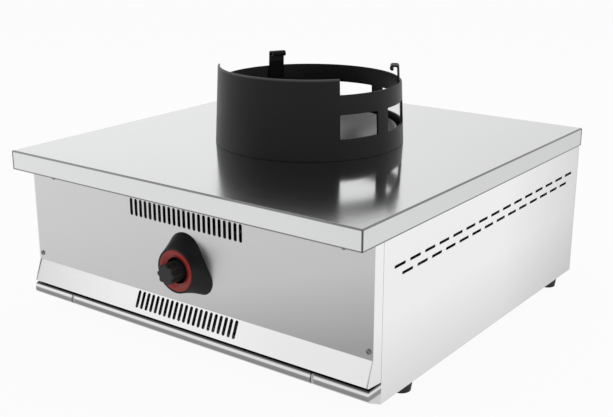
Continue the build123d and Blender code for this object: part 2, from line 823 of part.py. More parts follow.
# Spindle between the knob's bore and the plug. Its thin end opens the safety valve when the knob
# is pressed.
spindle_end_y = plug_back_y - spindle_end_gap
rod_end_y = tap_back_y + push_rod_end
with BuildPart() as valve_spindle:
    with BuildSketch(facing(spindle_end_y)):
        with Locations((0, knob_z)):
            Circle(spindle_radius)
    extrude(amount=spindle_end_y - spindle_front_y)
    with BuildSketch(facing(rod_end_y)):
        with Locations((0, knob_z)):
            Circle(push_rod_radius)
    extrude(amount=rod_end_y - spindle_end_y)
keep(valve_spindle, "valve_spindle")

# Safety magnet unit on the valve's rear face, hollow for the push rod.
with BuildPart() as safety_magnet:
    with BuildSketch(facing(tap_back_y + magnet_length)):
        with Locations((0, knob_z)):
            Circle(magnet_radius)
    extrude(amount=magnet_length)
    with BuildSketch(facing(tap_back_y)):
        with Locations((0, knob_z)):
            Circle(magnet_radius - magnet_wall)
    extrude(amount=-(magnet_length - magnet_wall), mode=Mode.SUBTRACT)
keep(safety_magnet, "safety_magnet")

# Bracket that carries the valve from the back of the fascia and keeps the plug in its bore.
bracket_foot_y = fascia_back_y + bracket_sheet
bracket_path = [
    (-bracket_half_width - bracket_foot, bracket_foot_y),
    (-bracket_half_width, bracket_foot_y),
    (-bracket_half_width, tap_y),
    (bracket_half_width, tap_y),
    (bracket_half_width, bracket_foot_y),
    (bracket_half_width + bracket_foot, bracket_foot_y),
]
with BuildPart() as valve_bracket:
    with BuildSketch(level(knob_z - bracket_height / 2)):
        with BuildLine():
            Polyline(*sheet_outline(bracket_path, bracket_sheet), close=True)
        make_face()
    extrude(amount=bracket_height)
    with BuildSketch(facing(tap_y)):
        with Locations((0, knob_z)):
            Circle(spindle_radius + bracket_hole_gap)
        with Locations(*[(sx * tap_screw_reach, knob_z + sz * tap_screw_reach)
                         for sx, sz in ((-1, 1), (1, -1))]):
            Circle(screw_hole_radius)
    extrude(amount=bracket_sheet, both=True, mode=Mode.SUBTRACT)
keep(valve_bracket, "valve_bracket")

# ---------------------------------------------------------------- gas inlet
# Threaded bulkhead fitting through the back panel, with its locknut outside.
with BuildPart() as gas_inlet:
    with BuildSketch(facing(rear_y + inlet_reach)):
        with Locations((inlet_x, knob_z)):
            Circle(inlet_thread_radius)
    extrude(amount=inlet_thread_length + supply_pipe_wall)
    with BuildSketch(facing(rear_y + inlet_reach - inlet_thread_length)):
        with Locations((inlet_x, knob_z)):
            Circle(inlet_shank_radius)
    extrude(amount=inlet_reach - inlet_thread_length + inlet_inner_length)
    chamfer(gas_inlet.faces().sort_by(Axis.Y)[-1].edges(), supply_pipe_wall)
    with BuildSketch(facing(back_inner_y)):
        with Locations((inlet_x, knob_z)):
            RegularPolygon(inlet_hex_radius, 6)
    extrude(amount=inlet_hex_thickness)
    with BuildSketch(facing(rear_y + inlet_reach)):
        with Locations((inlet_x, knob_z)):
            Circle(inlet_bore_radius)
    extrude(amount=inlet_reach + inlet_inner_length, mode=Mode.SUBTRACT)
keep(gas_inlet, "gas_inlet")

with BuildPart() as inlet_locknut:
    with BuildSketch(facing(rear_y + locknut_thickness)):
        with Locations((inlet_x, knob_z)):
            RegularPolygon(inlet_hex_radius, 6)
            Circle(inlet_shank_radius + knob_bore_gap, mode=Mode.SUBTRACT)
    extrude(amount=locknut_thickness)
keep(inlet_locknut, "inlet_locknut")

# ---------------------------------------------------------------- pipes
# Supply pipe from the inlet forward along the right side, then across to the tap.
inlet_inner_y = rear_y - inlet_inner_length
supply_port_x = tap_width / 2 + port_boss
with BuildPart() as supply_pipe:
    with BuildLine():
        supply_route = FilletPolyline(
            (supply_port_x, supply_port_y, knob_z),
            (inlet_x, supply_port_y, knob_z),
            (inlet_x, inlet_inner_y, knob_z),
            radius=supply_bend,
        )
    with BuildSketch(Plane(origin=supply_route @ 0, z_dir=supply_route % 0)):
        Circle(supply_pipe_radius)
        Circle(supply_pipe_radius - supply_pipe_wall, mode=Mode.SUBTRACT)
    sweep()
keep(supply_pipe, "supply_pipe")

# Stem, shutter and elbow heights that the feed pipe runs to.
bridge_top = worktop_height - bridge_drop
stem_low = bridge_top - stem_length
shutter_low = stem_low - shutter_window
elbow_top = shutter_low - shutter_floor - (injector_length - injector_jet_length) / 2
elbow_z = elbow_top - elbow_height / 2
feed_top_z = knob_z - tap_height / 2 - port_boss
elbow_front_y = middle_y - elbow_size / 2
with BuildPart() as feed_pipe:
    with BuildLine():
        feed_route = FilletPolyline(
            (0, feed_port_y, feed_top_z),
            (0, feed_port_y, elbow_z),
            (0, elbow_front_y, elbow_z),
            radius=feed_bend,
        )
    with BuildSketch(Plane(origin=feed_route @ 0, z_dir=feed_route % 0)):
        Circle(feed_pipe_radius)
        Circle(feed_pipe_radius - supply_pipe_wall, mode=Mode.SUBTRACT)
    sweep()
keep(feed_pipe, "feed_pipe")

# Pilot burner, heat sensor and their lines back to the tap.
pilot_turn = math.radians(pilot_azimuth)
pilot_x = pilot_reach * math.cos(pilot_turn)
pilot_y = middle_y + pilot_reach * math.sin(pilot_turn)
sensor_turn = math.radians(sensor_azimuth)
sensor_x = pilot_reach * math.cos(sensor_turn)
sensor_y = middle_y + pilot_reach * math.sin(sensor_turn)
pilot_foot_z = worktop_height - pilot_foot_drop
pilot_top_z = worktop_height - pilot_top_drop
with BuildPart() as pilot_pipe:
    with BuildLine():
        pilot_route = FilletPolyline(
            (pilot_x, pilot_y, pilot_foot_z),
            (pilot_x, pilot_y, knob_z),
            (pilot_x - pilot_radius, pilot_port_y, knob_z),
            (-tap_width / 2 - port_boss, pilot_port_y, knob_z),
            radius=pilot_bend,
        )
    with BuildSketch(Plane(origin=pilot_route @ 0, z_dir=pilot_route % 0)):
        Circle(pilot_pipe_radius)
    sweep()
keep(pilot_pipe, "pilot_pipe")

magnet_back_y = tap_back_y + magnet_length
with BuildPart() as sensor_lead:
    with BuildLine():
        lead_route = FilletPolyline(
            (sensor_x, sensor_y, pilot_foot_z),
            (sensor_x, sensor_y, knob_z),
            (0, (sensor_y + magnet_back_y) / 2, knob_z),
            (0, magnet_back_y, knob_z),
            radius=lead_bend,
        )
    with BuildSketch(Plane(origin=lead_route @ 0, z_dir=lead_route % 0)):
        Circle(lead_radius)
    sweep()
keep(sensor_lead, "sensor_lead")

with BuildPart() as pilot_burner:
    with BuildSketch(level(pilot_foot_z)):
        with Locations((pilot_x, pilot_y)):
            Circle(pilot_radius)
    extrude(amount=pilot_top_z - pilot_foot_z)
    chamfer(pilot_burner.faces().sort_by(Axis.Z)[-1].edges(), pilot_chamfer)
keep(pilot_burner, "pilot_burner")

with BuildPart() as heat_sensor:
    with BuildSketch(level(pilot_foot_z)):
        with Locations((sensor_x, sensor_y)):
            Circle(sensor_radius)
    extrude(amount=pilot_top_z - pilot_foot_z)
    fillet(heat_sensor.faces().sort_by(Axis.Z)[-1].edges(), sensor_tip_round)
keep(heat_sensor, "heat_sensor")

# Nuts that clamp the pipes at the tap and at the injector elbow.
with BuildPart() as pipe_nuts:
    with BuildSketch(across(supply_port_x)):
        with Locations((supply_port_y, knob_z)):
            RegularPolygon(supply_pipe_radius * pipe_nut_share, 6)
            Circle(supply_pipe_radius + knob_bore_gap, mode=Mode.SUBTRACT)
    extrude(amount=nut_thickness)
    with BuildSketch(level(feed_top_z)):
        with Locations((0, feed_port_y)):
            RegularPolygon(feed_pipe_radius * pipe_nut_share, 6)
            Circle(feed_pipe_radius + knob_bore_gap, mode=Mode.SUBTRACT)
    extrude(amount=-nut_thickness)
    with BuildSketch(facing(elbow_front_y)):
        with Locations((0, elbow_z)):
            RegularPolygon(feed_pipe_radius * pipe_nut_share, 6)
            Circle(feed_pipe_radius + knob_bore_gap, mode=Mode.SUBTRACT)
    extrude(amount=nut_thickness)
keep(pipe_nuts, "pipe_nuts")

# Two clips that hold the supply pipe off the right side panel.
clip_wall_x = casing_half - panel_sheet
clip_rows = (lip_y + clip_front_setback, rear_y - clip_rear_margin)
with BuildPart() as pipe_clips:
    for clip_y in clip_rows:
        with BuildSketch(facing(clip_y + clip_width / 2)):
            with Locations(((inlet_x + clip_wall_x) / 2, knob_z + supply_pipe_radius + clip_sheet / 2)):
                Rectangle(clip_wall_x - inlet_x, clip_sheet)
            with Locations((inlet_x, knob_z)):
                Circle(supply_pipe_radius + clip_sheet)
            with Locations((clip_wall_x - clip_sheet / 2, knob_z)):
                Rectangle(clip_sheet, 2 * (supply_pipe_radius + clip_sheet))
            with Locations((inlet_x, knob_z)):
                Circle(supply_pipe_radius + knob_bore_gap, mode=Mode.SUBTRACT)
        extrude(amount=clip_width)
keep(pipe_clips, "pipe_clips")

# ---------------------------------------------------------------- burner bridge
# Channel from side panel to side panel that carries the burner.
bridge_half_length = casing_half - panel_sheet
bridge_path = [
    (middle_y + bridge_half_width, bridge_top - bridge_flange),
    (middle_y + bridge_half_width, bridge_top),
    (middle_y - bridge_half_width, bridge_top),
    (middle_y - bridge_half_width, bridge_top - bridge_flange),
]
with BuildPart() as burner_bridge:
    with BuildSketch(across(-bridge_half_length)):
        with BuildLine():
            Polyline(*sheet_outline(bridge_path, -bridge_sheet), close=True)
        make_face()
    extrude(amount=2 * bridge_half_length)
    with BuildSketch(level(bridge_top)):
        with Locations((0, middle_y)):
            Circle(stem_radius + stem_hole_gap)
    extrude(amount=-2 * bridge_sheet, mode=Mode.SUBTRACT)
keep(burner_bridge, "burner_bridge")

# ---------------------------------------------------------------- burner body
# Iron casting: mixing tube, seat on the bridge, neck and cup in one.
cup_rim_z = worktop_height - cup_drop
cup_floor_z = cup_rim_z - cup_depth
neck_low_z = bridge_top + seat_thickness
neck_top_z = neck_low_z + neck_height
with BuildPart() as burner_body:
    with BuildSketch(radial(0)):
        with BuildLine():
            Polyline(
                (stem_bore, stem_low),
                (stem_bore, neck_top_z),
                (cup_radius - cup_wall, cup_floor_z + cup_wall),
                (cup_radius - cup_wall, cup_rim_z),
                (cup_radius, cup_rim_z),
                (cup_radius, cup_floor_z),
                (neck_radius, neck_top_z),
                (neck_radius, neck_low_z),
                (seat_radius, neck_low_z),
                (seat_radius, bridge_top),
                (stem_radius, bridge_top),
                (stem_radius, stem_low),
                close=True,
            )
        make_face()
    revolve(axis=ring_axis)
keep(burner_body, "burner_body")

# Crown that lifts off for cleaning, with its ring of flame ports.
crown_top_z = worktop_height + crown_stand
crown_inner = cup_radius - cup_wall - crown_gap
port_z = (cup_rim_z + crown_top_z - crown_top) / 2
with BuildPart() as burner_crown:
    with BuildSketch(radial(0)):
        with BuildLine():
            Polyline(
                (0, crown_top_z),
                (crown_flat_radius, crown_top_z),
                (cup_radius, crown_top_z - crown_dome),
                (cup_radius, cup_rim_z),
                (crown_inner, cup_rim_z),
                (crown_inner, cup_rim_z - crown_skirt),
                (crown_inner - crown_skirt_wall, cup_rim_z - crown_skirt),
                (crown_inner - crown_skirt_wall, crown_top_z - crown_top),
                (0, crown_top_z - crown_top),
                close=True,
            )
        make_face()
    revolve(axis=ring_axis)
    for port in range(port_count):
        with BuildSketch(outward(port * 360 / port_count, port_z)):
            RectangleRounded(port_width, port_height, port_round)
        extrude(amount=cup_radius + crown_gap, mode=Mode.SUBTRACT)
keep(burner_crown, "burner_crown")

# Air shutter: a cup on the mixing tube's end with four air windows.
shutter_inner = stem_radius + shutter_gap
with BuildPart() as air_shutter:
    with BuildSketch(level(shutter_low - shutter_floor)):
        with Locations((0, middle_y)):
            Circle(shutter_inner + shutter_wall)
    extrude(amount=shutter_floor + shutter_window + shutter_grip)
    with BuildSketch(level(shutter_low)):
        with Locations((0, middle_y)):
            Circle(shutter_inner)
    extrude(amount=shutter_window + shutter_grip, mode=Mode.SUBTRACT)
    with BuildSketch(level(shutter_low - shutter_floor)):
        with Locations((0, middle_y)):
            Circle(injector_radius)
    extrude(amount=shutter_floor, mode=Mode.SUBTRACT)
    with BuildSketch(level(shutter_low)):
        with Locations((0, middle_y)):
            Rectangle(shutter_inner, 4 * shutter_inner)
            Rectangle(4 * shutter_inner, shutter_inner)
    extrude(amount=shutter_window - shutter_floor, mode=Mode.SUBTRACT)
keep(air_shutter, "air_shutter")

# Brass injector, screwed into its elbow through the shutter's floor.
with BuildPart() as injector:
    with BuildSketch(level(elbow_top)):
        with Locations((0, middle_y)):
            Circle(injector_radius - knob_bore_gap)
    extrude(amount=injector_length - injector_jet_length)
    with BuildSketch(level(elbow_top + injector_length - injector_jet_length)):
        with Locations((0, middle_y)):
            Circle(injector_jet_radius)
    extrude(amount=injector_jet_length)
keep(injector, "injector")

with BuildPart() as injector_elbow:
    with BuildSketch(level(elbow_top - elbow_height)):
        with Locations((0, middle_y)):
            Rectangle(elbow_size, elbow_size)
    extrude(amount=elbow_height)
    fillet(injector_elbow.edges().filter_by(Axis.Z), elbow_round)
keep(injector_elbow, "injector_elbow")

# Plate that holds the pilot and the sensor beside the cup, folded down to the bridge.
plate_z = worktop_height - pilot_plate_drop
plate_left = pilot_x - pilot_plate_margin
plate_right = sensor_x + pilot_plate_margin
plate_back_y = middle_y - bridge_half_width + pilot_plate_sheet
plate_front_y = sensor_y - pilot_plate_margin
plate_path = [(plate_front_y, plate_z), (plate_back_y, plate_z), (plate_back_y, bridge_top)]
with BuildPart() as pilot_bracket:
    with BuildSketch(across(plate_left)):
        with BuildLine():
            Polyline(*sheet_outline(plate_path, pilot_plate_sheet), close=True)
        make_face()
    extrude(amount=plate_right - plate_left)
    with BuildSketch(level(plate_z)):
        with Locations((pilot_x, pilot_y)):
            Circle(pilot_radius + knob_bore_gap)
        with Locations((sensor_x, sensor_y)):
            Circle(sensor_radius + knob_bore_gap)
    extrude(amount=2 * pilot_plate_sheet, both=True, mode=Mode.SUBTRACT)
keep(pilot_bracket, "pilot_bracket")

# ---------------------------------------------------------------- wok ring
# Rolled steel wall, slightly conical: solid and higher at the front, windowed round the rest.
ring_foot_radius = bowl_radius + ring_bowl_gap + ring_wall
ring_lean = ring_lean_in / shield_height


def ring_face(height):
    """Outer radius of the ring's wall at a height above the worktop."""
    return ring_foot_radius - ring_lean * height


def ring_band(low, high, start, arc):
    """Add a band of the ring's wall between two heights, over an arc from a start azimuth."""
    with BuildSketch(radial(start)) as band:
        with BuildLine():
            Polyline(
                (ring_face(low), worktop_height + low),
                (ring_face(high), worktop_height + high),
                (ring_face(high) - ring_wall, worktop_height + high),
                (ring_face(low) - ring_wall, worktop_height + low),
                close=True,
            )
        make_face()
    revolve(band.sketch, axis=ring_axis, revolution_arc=arc)


shield_right = -90 + shield_half_angle
shield_left = 270 - shield_half_angle
with BuildPart() as ring_base_hoop:
    ring_band(0, window_low, 0, 360)
keep(ring_base_hoop, "ring_base_hoop")

with BuildPart() as ring_uprights:
    for post in range(post_count):
        ring_band(window_low, window_high, first_post + post * window_pitch - post_angle / 2, post_angle)
keep(ring_uprights, "ring_uprights")

with BuildPart() as ring_top_hoop:
    ring_band(window_high, rim_height, shield_right, shield_left - shield_right)
keep(ring_top_hoop, "ring_top_hoop")

with BuildPart() as ring_front_shield:
    ring_band(window_low, shield_height, shield_left, 2 * shield_half_angle)
keep(ring_front_shield, "ring_front_shield")

# Two tabs inside the ring, folded over at the top; with the shield's rim they carry the wok.
lug_outer = ring_face(lug_height) - ring_wall - lug_gap
lug_path = [
    (lug_outer - lug_reach, worktop_height + lug_height - lug_tip),
    (lug_outer - lug_reach, worktop_height + lug_height),
    (lug_outer, worktop_height + lug_height),
    (ring_face(lug_foot) - ring_wall - lug_gap, worktop_height + lug_foot),
]
with BuildPart() as ring_lugs:
    for azimuth in lug_azimuths:
        with BuildSketch(radial(azimuth - lug_angle / 2)) as lug_section:
            with BuildLine():
                Polyline(*sheet_outline(lug_path, lug_sheet), close=True)
            make_face()
            fillet(lug_section.vertices().group_by(Axis.Y)[-1], lug_bend)
        revolve(axis=ring_axis, revolution_arc=lug_angle)
keep(ring_lugs, "ring_lugs")

# ---------------------------------------------------------------- fascia angles
# One folded angle in each front corner, between the fascia's back and the side panel.
vent_flange_z = fascia_low + vent_flange
for angle_name, side in (("left_fascia_angle", -1), ("right_fascia_angle", 1)):
    angle_x = side * (casing_half - panel_sheet)
    angle_path = [
        (angle_x - side * angle_width, fascia_back_y),
        (angle_x, fascia_back_y),
        (angle_x, fascia_back_y + angle_depth),
    ]
    with BuildPart() as fascia_angle:
        with BuildSketch(level(vent_flange_z + angle_low)):
            with BuildLine():
                Polyline(*sheet_outline(angle_path, -side * panel_sheet), close=True)
            make_face()
        extrude(amount=panel_top - angle_high - vent_flange_z - angle_low)
        with BuildSketch(facing(fascia_back_y)):
            with Locations((side * upper_screw_x, upper_screw_z)):
                Circle(screw_hole_radius)
        extrude(amount=-2 * panel_sheet, mode=Mode.SUBTRACT)
    keep(fascia_angle, angle_name)

# ---------------------------------------------------------------- screws


def keep_screws(plane, places, radius, head_radius, head_height, shank, name):
    """Write domed screws whose heads sit on a plane and whose shanks run behind it."""
    with BuildPart() as screws:
        with BuildSketch(plane):
            with Locations(*places):
                Circle(head_radius)
        extrude(amount=head_height)
        head_tops = screws.faces().group_by(Axis(plane.origin, plane.z_dir))[-1]
        fillet(head_tops.edges(), head_height * head_dome)
        with BuildSketch(plane):
            with Locations(*places):
                Circle(radius)
        extrude(amount=-shank)
    keep(screws, name)


keep_screws(
    facing(fascia_y),
    fascia_screw_places,
    screw_radius, screw_head_radius, screw_head_height, screw_length, "fascia_screws",
)
keep_screws(
    Plane(origin=(0, rear_y, 0), x_dir=(-1, 0, 0), z_dir=(0, 1, 0)),
    [(sx * back_screw_x, z) for sx in (-1, 1) for z in back_screw_rows],
    screw_radius, screw_head_radius, screw_head_height, screw_length, "back_screws",
)
keep_screws(
    facing(tap_y - bracket_sheet),
    [(sx * tap_screw_reach, knob_z + sz * tap_screw_reach) for sx, sz in ((-1, 1), (1, -1))],
    screw_radius, screw_head_radius, screw_head_height, screw_length, "valve_screws",
)

# Machine screws up through the feet and the base, with a nut on each.
foot_screw_places = [(x, -y) for _, x, y in foot_places]
keep_screws(
    Plane(origin=(0, 0, foot_recess_depth), x_dir=(1, 0, 0), z_dir=(0, 0, -1)),
    foot_screw_places,
    foot_screw_radius, foot_screw_head_radius, foot_screw_head_height, foot_screw_length, "foot_screws",
)
with BuildPart() as foot_nuts:
    with BuildSketch(level(base_top)):
        with Locations(*[(x, y) for _, x, y in foot_places]):
            RegularPolygon(foot_nut_radius, 6)
            Circle(foot_screw_radius + knob_bore_gap, mode=Mode.SUBTRACT)
    extrude(amount=foot_nut_thickness)
keep(foot_nuts, "foot_nuts")
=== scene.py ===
import math

import bmesh
import bpy
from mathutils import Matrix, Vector


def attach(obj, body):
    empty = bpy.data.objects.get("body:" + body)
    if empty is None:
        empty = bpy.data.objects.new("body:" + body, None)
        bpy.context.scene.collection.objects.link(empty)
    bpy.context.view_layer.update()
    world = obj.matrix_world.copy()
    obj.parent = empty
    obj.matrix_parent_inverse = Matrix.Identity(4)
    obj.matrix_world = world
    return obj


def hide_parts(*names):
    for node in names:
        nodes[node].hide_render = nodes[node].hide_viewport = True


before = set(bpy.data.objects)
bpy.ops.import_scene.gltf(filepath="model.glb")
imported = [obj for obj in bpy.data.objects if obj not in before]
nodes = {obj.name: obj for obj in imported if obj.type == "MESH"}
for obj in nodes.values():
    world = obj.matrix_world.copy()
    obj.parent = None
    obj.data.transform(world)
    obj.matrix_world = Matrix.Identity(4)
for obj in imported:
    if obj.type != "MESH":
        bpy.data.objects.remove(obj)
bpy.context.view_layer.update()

# ---------------------------------------------------------------- studio
# White room: a floor and a backdrop that stay white behind the range, broad soft lamps overhead
# and to the sides, and a long-lens camera a little above the worktop, at the front right corner.
EYE = Vector((0.889, -1.220, 0.611))
EYE_HEADING = 36.43
EYE_TILT = 17.38
EYE_LENS = 60.6
FILM_WIDTH = 36.0
SKY_LOW = (0.34, 0.98)
SKY_HIGH = (0.75, 0.50)
FLOOR_HALF = 6.0
FLOOR_TONE = 0.86
FLOOR_SEEN = 0.93
LAMP_AIM = Vector((0.0, 0.0, 0.2))
LAMPS = (("lamp_top", (-0.3, 0.4, 2.6), 2.0, 8), ("lamp_left", (-2.4, -1.4, 1.5), 2.4, 5),
         ("lamp_right", (2.6, 0.2, 1.6), 2.6, 5))

camera = bpy.data.objects.new("camera", bpy.data.cameras.new("camera"))
camera.data.lens = EYE_LENS
camera.data.sensor_width = FILM_WIDTH
camera.location = EYE
camera.rotation_euler = (math.radians(90 - EYE_TILT), 0, math.radians(EYE_HEADING))
bpy.context.scene.collection.objects.link(camera)
bpy.context.scene.camera = camera
bpy.context.scene.view_settings.view_transform = "Standard"


def node_of(tree, kind, **values):
    """Add a node and set its properties, or its sockets, named with underscores for spaces."""
    made = tree.nodes.new(kind)
    for key, value in values.items():
        if hasattr(made, key):
            setattr(made, key, value)
        else:
            made.inputs[key.replace("_", " ")].default_value = value
    return made


def seen_directly(tree):
    """Socket that is 1 for camera, mirror and glass rays."""
    rays = node_of(tree, "ShaderNodeLightPath")
    both = node_of(tree, "ShaderNodeMath", operation="MAXIMUM")
    every = node_of(tree, "ShaderNodeMath", operation="MAXIMUM")
    tree.links.new(rays.outputs["Is Camera Ray"], both.inputs[0])
    tree.links.new(rays.outputs["Is Glossy Ray"], both.inputs[1])
    tree.links.new(both.outputs[0], every.inputs[0])
    tree.links.new(rays.outputs["Is Transmission Ray"], every.inputs[1])
    return every.outputs[0]


world = bpy.data.worlds.new("studio")
bpy.context.scene.world = world
world.use_nodes = True
sky = world.node_tree
sky.nodes.clear()
sky_rays = node_of(sky, "ShaderNodeLightPath")
sky_place = node_of(sky, "ShaderNodeTexCoord")
sky_split = node_of(sky, "ShaderNodeSeparateXYZ")
sky_ramp = node_of(sky, "ShaderNodeValToRGB")
for stop, (height, tone) in zip(sky_ramp.color_ramp.elements, (SKY_LOW, SKY_HIGH)):
    stop.position = height
    stop.color = (tone, tone, tone, 1)
sky_mix = node_of(sky, "ShaderNodeMix", data_type="RGBA")
sky_light = node_of(sky, "ShaderNodeBackground")
sky_out = node_of(sky, "ShaderNodeOutputWorld")
sky.links.new(sky_place.outputs["Generated"], sky_split.inputs[0])
sky.links.new(sky_split.outputs["Z"], sky_ramp.inputs[0])
sky.links.new(sky_rays.outputs["Is Camera Ray"], sky_mix.inputs["Factor"])
sky.links.new(sky_ramp.outputs[0], sky_mix.inputs["A"])
sky_mix.inputs["B"].default_value = (1, 1, 1, 1)
sky.links.new(sky_mix.outputs["Result"], sky_light.inputs["Color"])
sky.links.new(sky_light.outputs[0], sky_out.inputs[0])

floor_mesh = bpy.data.meshes.new("floor")
floor_mesh.from_pydata(
    [(-FLOOR_HALF, -FLOOR_HALF, 0), (FLOOR_HALF, -FLOOR_HALF, 0),
     (FLOOR_HALF, FLOOR_HALF, 0), (-FLOOR_HALF, FLOOR_HALF, 0)],
    [], [(0, 1, 2, 3)],
)
floor = bpy.data.objects.new("floor", floor_mesh)
bpy.context.scene.collection.objects.link(floor)
floor_paint = bpy.data.materials.new("floor_paint")
floor_paint.use_nodes = True
paint = floor_paint.node_tree
paint.nodes.clear()
floor_share = node_of(paint, "ShaderNodeMath", operation="MULTIPLY")
floor_share.inputs[1].default_value = FLOOR_SEEN
floor_grain = node_of(paint, "ShaderNodeBsdfDiffuse", Color=(FLOOR_TONE, FLOOR_TONE, FLOOR_TONE, 1))
floor_white = node_of(paint, "ShaderNodeEmission", Color=(1, 1, 1, 1), Strength=1.0)
floor_mix = node_of(paint, "ShaderNodeMixShader")
floor_out = node_of(paint, "ShaderNodeOutputMaterial")
paint.links.new(seen_directly(paint), floor_share.inputs[0])
paint.links.new(floor_share.outputs[0], floor_mix.inputs[0])
paint.links.new(floor_grain.outputs[0], floor_mix.inputs[1])
paint.links.new(floor_white.outputs[0], floor_mix.inputs[2])
paint.links.new(floor_mix.outputs[0], floor_out.inputs[0])
floor_mesh.materials.append(floor_paint)


def soft_lamp(name, place, size, power):
    """Square area lamp that points at the middle of the range."""
    lamp = bpy.data.objects.new(name, bpy.data.lights.new(name, "AREA"))
    lamp.data.shape = "SQUARE"
    lamp.data.size = size
    lamp.data.energy = power
    lamp.location = place
    aim = LAMP_AIM - Vector(place)
    lamp.rotation_euler = aim.to_track_quat("-Z", "Y").to_euler()
    bpy.context.scene.collection.objects.link(lamp)


for lamp_name, lamp_place, lamp_size, lamp_power in LAMPS:
    soft_lamp(lamp_name, lamp_place, lamp_size, lamp_power)

# ---------------------------------------------------------------- worktop
# One sheet of stainless steel, polished to a mirror, with its edges folded down. Painted shade darkens the
# folds and the lip's lower edge, and a dark strip painted as shade stands on each corner. Its stiffeners are
# spot welded on.
TOP_HALF = 0.300
TOP_FRONT = -0.31775
TOP_REAR = 0.30225
TOP_LOW = 0.2223
TOP_HIGH = 0.250
# Painted shadow along the lip's lower edge and painted dark reflection in the fold at the top of the lip.
FOLD_SHADE_TONES = ((0.0, 0.22), (0.050, 0.34), (0.070, 1.0), (0.905, 1.0),
              (0.930, 0.30), (0.9990, 0.40), (0.9999, 1.0))
# Painted sheen: the top is a little lighter at the front left and darker towards the right rear.
SHEEN_ACROSS = (1.0, 0.6, 0.0)
SHEEN_FROM = -0.486
SHEEN_TO = 0.485
PAINTED_SHEEN_TONES = ((0.0, 1.04), (0.5, 0.98), (1.0, 0.82))
DULL_FROM = -0.150
DULL_MORE = 0.10
SEAM_RADIUS = 0.0012
SEAM_INSET = 0.0007
SEAM_SIDES = 10
SEAM_LIFT = 0.0001
SEAM_LENGTH = TOP_HIGH - TOP_LOW - 0.0011
SEAM_EASE = 0.0006
SEAM_PROFILE = ((0.0, 0.0), (SEAM_RADIUS * 0.7, 0.0), (SEAM_RADIUS, 0.0004),
                (SEAM_RADIUS, SEAM_LENGTH - SEAM_EASE), (SEAM_RADIUS * 0.6, SEAM_LENGTH), (0.0, SEAM_LENGTH))
UPWARDS = (0.0, 0.0, 1.0)
EVEN = (1.0, 1.0, 1.0)
GRAIN_DETAIL = 4.0
GRAIN_SHARE = 0.55
DRIFT_SCALE = 5.0
RELIEF_DEPTH = 0.0004
MERGE_BELOW = 1e-6
SHARP_ABOVE = 30.0


def surface(name, colour, rough, spread, scale, bump, mottle, metal=1.0, stretch=EVEN, gloss=0.5):
    """Procedural finish: a stretched grain in roughness and relief, and a slow drift of tone."""
    made = bpy.data.materials.new(name)
    made.use_nodes = True
    tree = made.node_tree
    shader = tree.nodes["Principled BSDF"]
    shader.inputs["Metallic"].default_value = metal
    shader.inputs["Specular IOR Level"].default_value = gloss
    place = node_of(tree, "ShaderNodeTexCoord")
    turn = node_of(tree, "ShaderNodeMapping")
    turn.inputs["Scale"].default_value = stretch
    grain = node_of(tree, "ShaderNodeTexNoise", Scale=scale, Detail=GRAIN_DETAIL,
                    Roughness=GRAIN_SHARE)
    drift = node_of(tree, "ShaderNodeTexNoise", Scale=DRIFT_SCALE, Detail=2.0, Roughness=0.5)
    level = node_of(tree, "ShaderNodeMapRange")
    level.inputs["To Min"].default_value = rough - spread
    level.inputs["To Max"].default_value = rough + spread
    relief = node_of(tree, "ShaderNodeBump", Strength=bump, Distance=RELIEF_DEPTH)
    tone = node_of(tree, "ShaderNodeMix", data_type="RGBA")
    tone.inputs["A"].default_value = (*[c * (1 - mottle) for c in colour], 1)
    tone.inputs["B"].default_value = (*[min(1.0, c * (1 + mottle)) for c in colour], 1)
    tree.links.new(place.outputs["Object"], turn.inputs[0])
    tree.links.new(turn.outputs[0], grain.inputs["Vector"])
    tree.links.new(place.outputs["Object"], drift.inputs["Vector"])
    tree.links.new(grain.outputs[0], level.inputs[0])
    tree.links.new(level.outputs[0], shader.inputs["Roughness"])
    tree.links.new(grain.outputs[0], relief.inputs["Height"])
    tree.links.new(relief.outputs[0], shader.inputs["Normal"])
    tree.links.new(drift.outputs[0], tone.inputs["Factor"])
    tree.links.new(tone.outputs["Result"], shader.inputs["Base Color"])
    return made


def grade(material, direction, start, end, stops):
    """Multiply a finish's colour by tones set out along a direction on the piece, to paint shade and
    highlights.
    """
    tree = material.node_tree
    base = tree.nodes["Principled BSDF"].inputs["Base Color"]
    before = base.links[0].from_socket
    place = node_of(tree, "ShaderNodeTexCoord")
    along = node_of(tree, "ShaderNodeVectorMath", operation="DOT_PRODUCT")
    along.inputs[1].default_value = direction
    share = node_of(tree, "ShaderNodeMapRange")
    share.inputs["From Min"].default_value = start
    share.inputs["From Max"].default_value = end
    ramp = node_of(tree, "ShaderNodeValToRGB")
    while len(ramp.color_ramp.elements) < len(stops):
        ramp.color_ramp.elements.new(0.5)
    for stop, (position, tone) in zip(ramp.color_ramp.elements, stops):
        stop.position = position
        stop.color = (tone, tone, tone, 1)
    shaded = node_of(tree, "ShaderNodeMix", data_type="RGBA", blend_type="MULTIPLY")
    shaded.inputs["Factor"].default_value = 1.0
    tree.links.new(place.outputs["Object"], along.inputs[0])
    tree.links.new(along.outputs["Value"], share.inputs[0])
    tree.links.new(share.outputs[0], ramp.inputs[0])
    tree.links.new(before, shaded.inputs["A"])
    tree.links.new(ramp.outputs[0], shaded.inputs["B"])
    tree.links.new(shaded.outputs["Result"], base)


def finish_node(name, material):
    """Give a CAD piece its finish."""
    for slot in nodes[name].material_slots:
        slot.material = material
    if not nodes[name].material_slots:
        nodes[name].data.materials.append(material)


def add_piece(name, mesh, body, material, replaced=()):
    """Put a finished mesh in the scene on its body."""
    piece = bpy.data.objects.new(name, mesh)
    bpy.context.scene.collection.objects.link(piece)
    mesh.materials.clear()
    mesh.materials.append(material)
    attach(piece, body)
    if replaced:
        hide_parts(*replaced)
    return piece


